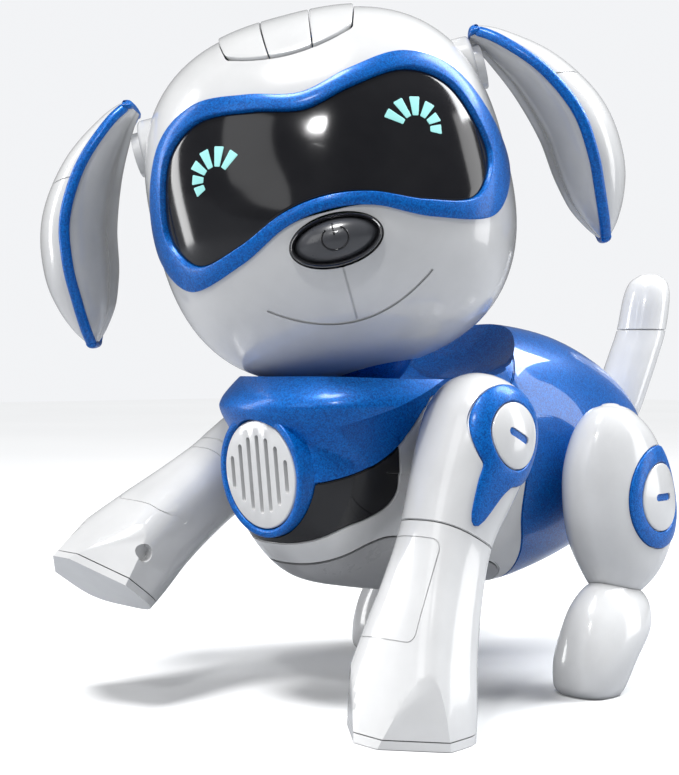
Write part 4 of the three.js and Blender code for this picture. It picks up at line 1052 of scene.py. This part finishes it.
HUB = Sizes(proud=0.7, pocket=0.9, mark=(4.6, 1.25), mark_corner=1.225, mark_base=0.2, mark_proud=0.45,
            mark_fit=0.98)
HUB_CENTRE = np.zeros(2)


def limb_surface(stations):
    """Outer face (+X) of a limb as a function of (y, z), with offset along the surface's normal."""
    rows = smoothed(stations, 8)[::-1]
    step = 0.05

    def point(y, z):
        x0, y0, width, depth, power = (np.interp(z, rows[:, 0], rows[:, n]) for n in range(1, 6))
        level = np.clip(1 - np.abs((y - y0) / depth) ** power, 1e-3, 1)
        return columns(x0 + width * level ** (1 / power), y, z)

    def surface(y, z, offset):
        normal = np.cross(point(y + step, z) - point(y - step, z), point(y, z + step) - point(y, z - step))
        normal /= lengths(normal)
        return point(y, z) + normal * offset
    return surface


def hub_outline(radius, spike=None):
    """Circle, with an optional spike that leaves it smoothly, as (y, z) points round the pivot."""
    angle = circle(144)
    reach = np.full(len(angle), float(radius))
    if spike:
        corners = np.array(spike + spike[:1])
        for k, turn in enumerate(angle):
            way = np.array([math.cos(turn), math.sin(turn)])
            for a, b in zip(corners, corners[1:]):
                # Where the ray from the pivot crosses this side of the spike.
                side = b - a
                det = way[1] * side[0] - way[0] * side[1]
                if abs(det) < 1e-9:
                    continue
                far = (a[1] * side[0] - a[0] * side[1]) / det
                share = (way[0] * a[1] - way[1] * a[0]) / det
                if 0 <= share <= 1 and far > reach[k]:
                    reach[k] = far
        for _ in range(2):
            reach = (np.roll(reach, 1) + 2 * reach + np.roll(reach, -1)) / 4
    return columns(reach * np.cos(angle), reach * np.sin(angle))


def hub_parts(surface, ring, spike, leg, body, place):
    """Blue ring, and white cap with its blue mark."""
    outer = hub_outline(ring.outer, spike)
    inner = hub_outline(ring.inner + SEAM / 2)
    cover = band(outer, inner, surface, HUB.proud, crown=0.15)
    piece(f"{leg}_ring_cover", cover, "blue", body, place)
    cap = plate(hub_outline(ring.inner - SEAM / 2), HUB_CENTRE, surface, HUB.proud, crown=0.2)
    mark = rounded_box_outline(*HUB.mark, HUB.mark_corner)
    hole = plate(mark, HUB_CENTRE, surface, 3, depth=-HUB.mark_base, lip=0.01, rings=6)
    piece(f"{leg}_hub_cap", cut(cap, hole), "white", body, place)
    bar = plate(mark * HUB.mark_fit, HUB_CENTRE, surface, HUB.mark_proud, depth=0.5, lip=0.1, rings=6)
    piece(f"{leg}_hub_mark", bar, "blue", body, place, nodes=())


def ring_pocket(surface, ring, spike):
    """Cutter for the pocket in a leg that takes its ring and cap."""
    outline = hub_outline(ring.outer + SEAM, spike)
    return plate(outline, HUB_CENTRE, surface, 5, depth=HUB.pocket, lip=0.01, rings=20)


def loop_groove(outline, width, y0, y1):
    """Closed wall over the edge of an outline in the front view."""
    middle = outline.mean(axis=0)
    arm = outline - middle
    inner = middle + arm * (1 - width / lengths(arm))
    corners = ((outline, y0), (outline, y1), (inner, y1), (inner, y0))
    return skin([[(x, y, z) for x, z in line] for line, y in corners], closed=True)


def front_leg_place(side, swing):
    return (TORSO_PLACE @ mirrored(side) @ shift(SHOULDER.x, SHOULDER.y, SHOULDER.z)
            @ spin("X", -swing) @ spin("Y", -FRONT_SPLAY))


def build_front_legs():
    """Both legs have one shape, cut level with the floor where the left one stands on it."""
    standing = JOINTS["left_front_leg_swing"]["range_deg"][1]
    lifted = JOINTS["right_front_leg_swing"]["range_deg"][1]
    surface = limb_surface(FRONT_LEG)
    to_leg = (spin("Y", FRONT_SPLAY) @ spin("X", standing)
              @ shift(-SHOULDER.x, -SHOULDER.y, -SHOULDER.z))

    def ground(top):
        return moved(block(-150, 150, -250, 150, -80, top), to_leg)

    leg = loft(FRONT_LEG, 80, 8, dome=FRONT_DOME)
    near_surface = loft(FRONT_LEG, 80, 8, inset=SHIN.deep)
    across, forward, down = PAW_CUT.normal
    for side in SIDES.values():
        corner = (side * PAW_CUT.x, PAW_CUT.y, PAW_CUT.z)
        cut(leg, far_side(corner, (side * across, forward, down)))
    pad = cut(common(copy_of(leg), ground(PAD_TOP)), ground(0))
    cut(leg, ground(PAD_TOP + SEAM))
    shin = rounded_box_outline(SHIN.wide, SHIN.half, SHIN.radius) + (SHIN.x, SHIN.z)
    shin_groove = cut(loop_groove(shin, SHIN.line, -40, 0), near_surface, keep=True)
    knee_groove = cut(block(-40, 40, -40, 40, KNEE - SEAM, KNEE + SEAM), near_surface)
    cut(leg, shin_groove, knee_groove, ring_pocket(surface, FRONT_RING, SPIKE))
    hole = drum("x", -30, PAW_HOLE.face + PAW_HOLE.deep, PAW_HOLE.radius, around=40)
    cut(leg, moved(hole, shift(y=PAW_HOLE.y, z=PAW_HOLE.z)))
    lower = common(copy_of(leg), block(-60, 60, -60, 60, -140, KNEE - SEAM / 2))
    upper = common(leg, block(-60, 60, -60, 60, KNEE + SEAM / 2, 60))
    for name, swing in (("left", standing), ("right", lifted)):
        body = f"{name}_front_leg"
        place = front_leg_place(SIDES[name], swing)
        for part, shape in (("upper_leg", upper), ("lower_leg", lower), ("paw_pad", pad)):
            piece(f"{name}_front_{part}", copy_of(shape), "white", body, place)
        hub_parts(surface, FRONT_RING, SPIKE, f"{name}_front", body, place)
    drop(upper, lower, pad)


def build_rear_legs():
    surface = limb_surface(THIGH)
    at_hip = shift(HIP.x, HIP.y, HIP.z)
    thigh = cut(loft(THIGH, 80, 8, dome=THIGH_DOME), ring_pocket(surface, REAR_RING, None))
    boot = cut(loft(BOOT, 80, 8), side_prism(HEEL_CUT, 0, 90),
               moved(loft(THIGH, 80, 8, inset=-SEAM, dome=THIGH_DOME), at_hip))
    for name, side in SIDES.items():
        body = f"{name}_rear_leg"
        flip = TORSO_PLACE @ mirrored(side)
        piece(f"{name}_rear_thigh", copy_of(thigh), "white", body, flip @ at_hip)
        piece(f"{name}_rear_foot", copy_of(boot), "white", body, flip)
        hub_parts(surface, REAR_RING, None, f"{name}_rear", body, flip @ at_hip)
    drop(thigh, boot)


# ---------- tail ----------

TAIL = Sizes(y=85, z=93, seam=125, swing=10, gap=0.5, dome=0.6)
TAIL_STATIONS = [
    [87, 0, 82, 6.5, 6.5, 2], [91, 0, 84.5, 9.2, 9.2, 2], [103, 0, 90.5, 10, 10, 2], [115, 0, 97, 10, 10, 2],
    [125, 0, 102, 9.8, 9.8, 2], [138, 0, 105.5, 9.4, 9.4, 2], [144.5, 0, 106.8, 7.6, 7.6, 2],
    [147.4, 0, 107.5, 4.2, 4.2, 2],
]


def build_tail():
    def between(z0, z1):
        return block(-30, 30, 40, 160, z0, z1)

    seam = TAIL.seam
    tail = loft(TAIL_STATIONS, 64, 8, dome=TAIL.dome)
    cut(tail, cut(between(seam - SEAM, seam + SEAM), loft(TAIL_STATIONS, 64, 8, inset=0.4)))
    tip = common(copy_of(tail), between(seam + SEAM / 2, 300))
    base = common(tail, between(0, seam - SEAM / 2))
    piece("tail_base", base, "white", "tail", TORSO_PLACE)
    piece("tail_tip", tip, "white", "tail", TORSO_PLACE)


# ---------- hidden parts, room, light and camera ----------

HIDDEN = {
    "speaker": "rubber", "drive_unit": "rubber", "rear_axle": "rubber", "battery_pack": "cell",
    "circuit_board": "board", "eye_board": "board",
}


def paint_hidden():
    for node, look in HIDDEN.items():
        shown = frame["nodes"][node]
        shown.data.materials.clear()
        shown.data.materials.append(LOOKS[look])


VIEW = Sizes(azimuth=48.0, elevation=0.7, distance=462, lens=65.03, target=(0, -64, 102.9))
SUN = Sizes(azimuth=12, elevation=70, strength=2.7, angle=14)
LIGHT_TARGET = Vector((0, 0, 0.1))
WHITE = (1.0, 1.0, 1.0)
# Area lights: name, azimuth, elevation, then distance, width and height in metres, watts and colour.
LIGHTS = [
    ("left_softbox", -48, 16, 0.9, 0.16, 0.9, 4.0, WHITE),
    ("front_softbox", 4, 24, 1.0, 0.4, 0.6, 1.1, WHITE),
    ("rear_softbox", 152, 48, 0.8, 0.36, 0.46, 8.0, (0.97, 0.985, 1.0)),
    ("right_softbox", 140, 14, 1.0, 0.3, 0.7, 2.2, WHITE),
    ("visor_lamp", 34, 38, 0.9, 0.065, 0.05, 1.3, WHITE),
]
# The camera sees a nearly white floor and backdrop, and the object is lit by darker ones.
FLOOR = Sizes(half=4, seen_dark=(0.86, 0.865, 0.87), seen_light=(0.88, 0.885, 0.89),
              lighting=(0.34, 0.35, 0.37, 1))
AMBIENT = {"Color": (0.92, 0.94, 0.97, 1), "Strength": 0.2}
BACKDROP = {"Color": (0.97, 0.98, 1.0, 1), "Strength": 0.92}


def backwards(azimuth, elevation):
    """Direction from the object to a watcher. The watcher at azimuth 0 looks along +Y."""
    a, e = math.radians(azimuth), math.radians(elevation)
    return Vector((math.sin(a) * math.cos(e), -math.cos(a) * math.cos(e), math.sin(e)))


def aimed(name, data, place, target):
    thing = bpy.data.objects.new(name, data)
    bpy.context.scene.collection.objects.link(thing)
    thing.location = place
    thing.rotation_euler = (target - place).to_track_quat("-Z", "Y").to_euler()
    return thing


def build_camera():
    data = bpy.data.cameras.new("camera")
    data.lens = VIEW.lens
    data.sensor_width = 36
    data.clip_start = 0.01
    target = (TORSO_PLACE @ Vector(VIEW.target)) * MM
    place = target + backwards(VIEW.azimuth, VIEW.elevation) * VIEW.distance * MM
    bpy.context.scene.camera = aimed("camera", data, place, target)


def build_lights():
    sun = bpy.data.lights.new("sun", "SUN")
    sun.energy = SUN.strength
    sun.angle = math.radians(SUN.angle)
    aimed("sun", sun, LIGHT_TARGET + backwards(SUN.azimuth, SUN.elevation), LIGHT_TARGET)
    for name, azimuth, elevation, distance, width, height, watts, color in LIGHTS:
        data = bpy.data.lights.new(name, "AREA")
        data.shape = "RECTANGLE"
        data.size, data.size_y = width, height
        data.energy = watts
        data.color = color
        aimed(name, data, LIGHT_TARGET + backwards(azimuth, elevation) * distance, LIGHT_TARGET)


def build_floor():
    half = FLOOR.half
    floor = block(-half, half, -half, half, -0.02, -0.0002)
    floor.name = "floor"
    material = bpy.data.materials.new("floor")
    material.use_nodes = True
    nodes, links = material.node_tree.nodes, material.node_tree.links
    place = wire(nodes, links, "ShaderNodeTexCoord").outputs["Object"]
    cloud = wire(nodes, links, "ShaderNodeTexNoise", Vector=place, Scale=2.0)
    seen = ramp(nodes, links, cloud.outputs["Fac"], [(0.3, FLOOR.seen_dark), (0.7, FLOOR.seen_light)])
    path = wire(nodes, links, "ShaderNodeLightPath")
    mixed = wire(nodes, links, "ShaderNodeMix", {"data_type": "RGBA"}, _0=path.outputs["Is Camera Ray"],
                 _6=FLOOR.lighting, _7=seen)
    feed(links, nodes["Principled BSDF"], Base_Color=mixed.outputs[2], Roughness=0.9, Specular_IOR_Level=0.0)
    floor.data.materials.append(material)


def build_backdrop():
    world = bpy.data.worlds.new("room")
    bpy.context.scene.world = world
    world.use_nodes = True
    nodes, links = world.node_tree.nodes, world.node_tree.links
    ambient = nodes["Background"]
    feed(links, ambient, **AMBIENT)
    backdrop = wire(nodes, links, "ShaderNodeBackground", **BACKDROP)
    path = wire(nodes, links, "ShaderNodeLightPath")
    blend = wire(nodes, links, "ShaderNodeMixShader", Fac=path.outputs["Is Camera Ray"],
                 _1=ambient.outputs["Background"], _2=backdrop.outputs["Background"])
    feed(links, nodes["World Output"], Surface=blend.outputs["Shader"])


bpy.context.scene.view_settings.view_transform = "Standard"
build_camera()
build_lights()
build_floor()
build_backdrop()
build_head_shells()
build_face_parts()
build_nose()
build_touch_buttons()
build_ear_bosses()
build_ears()
build_neck()
build_torso()
build_switch()
build_front_legs()
build_rear_legs()
build_tail()
paint_hidden()
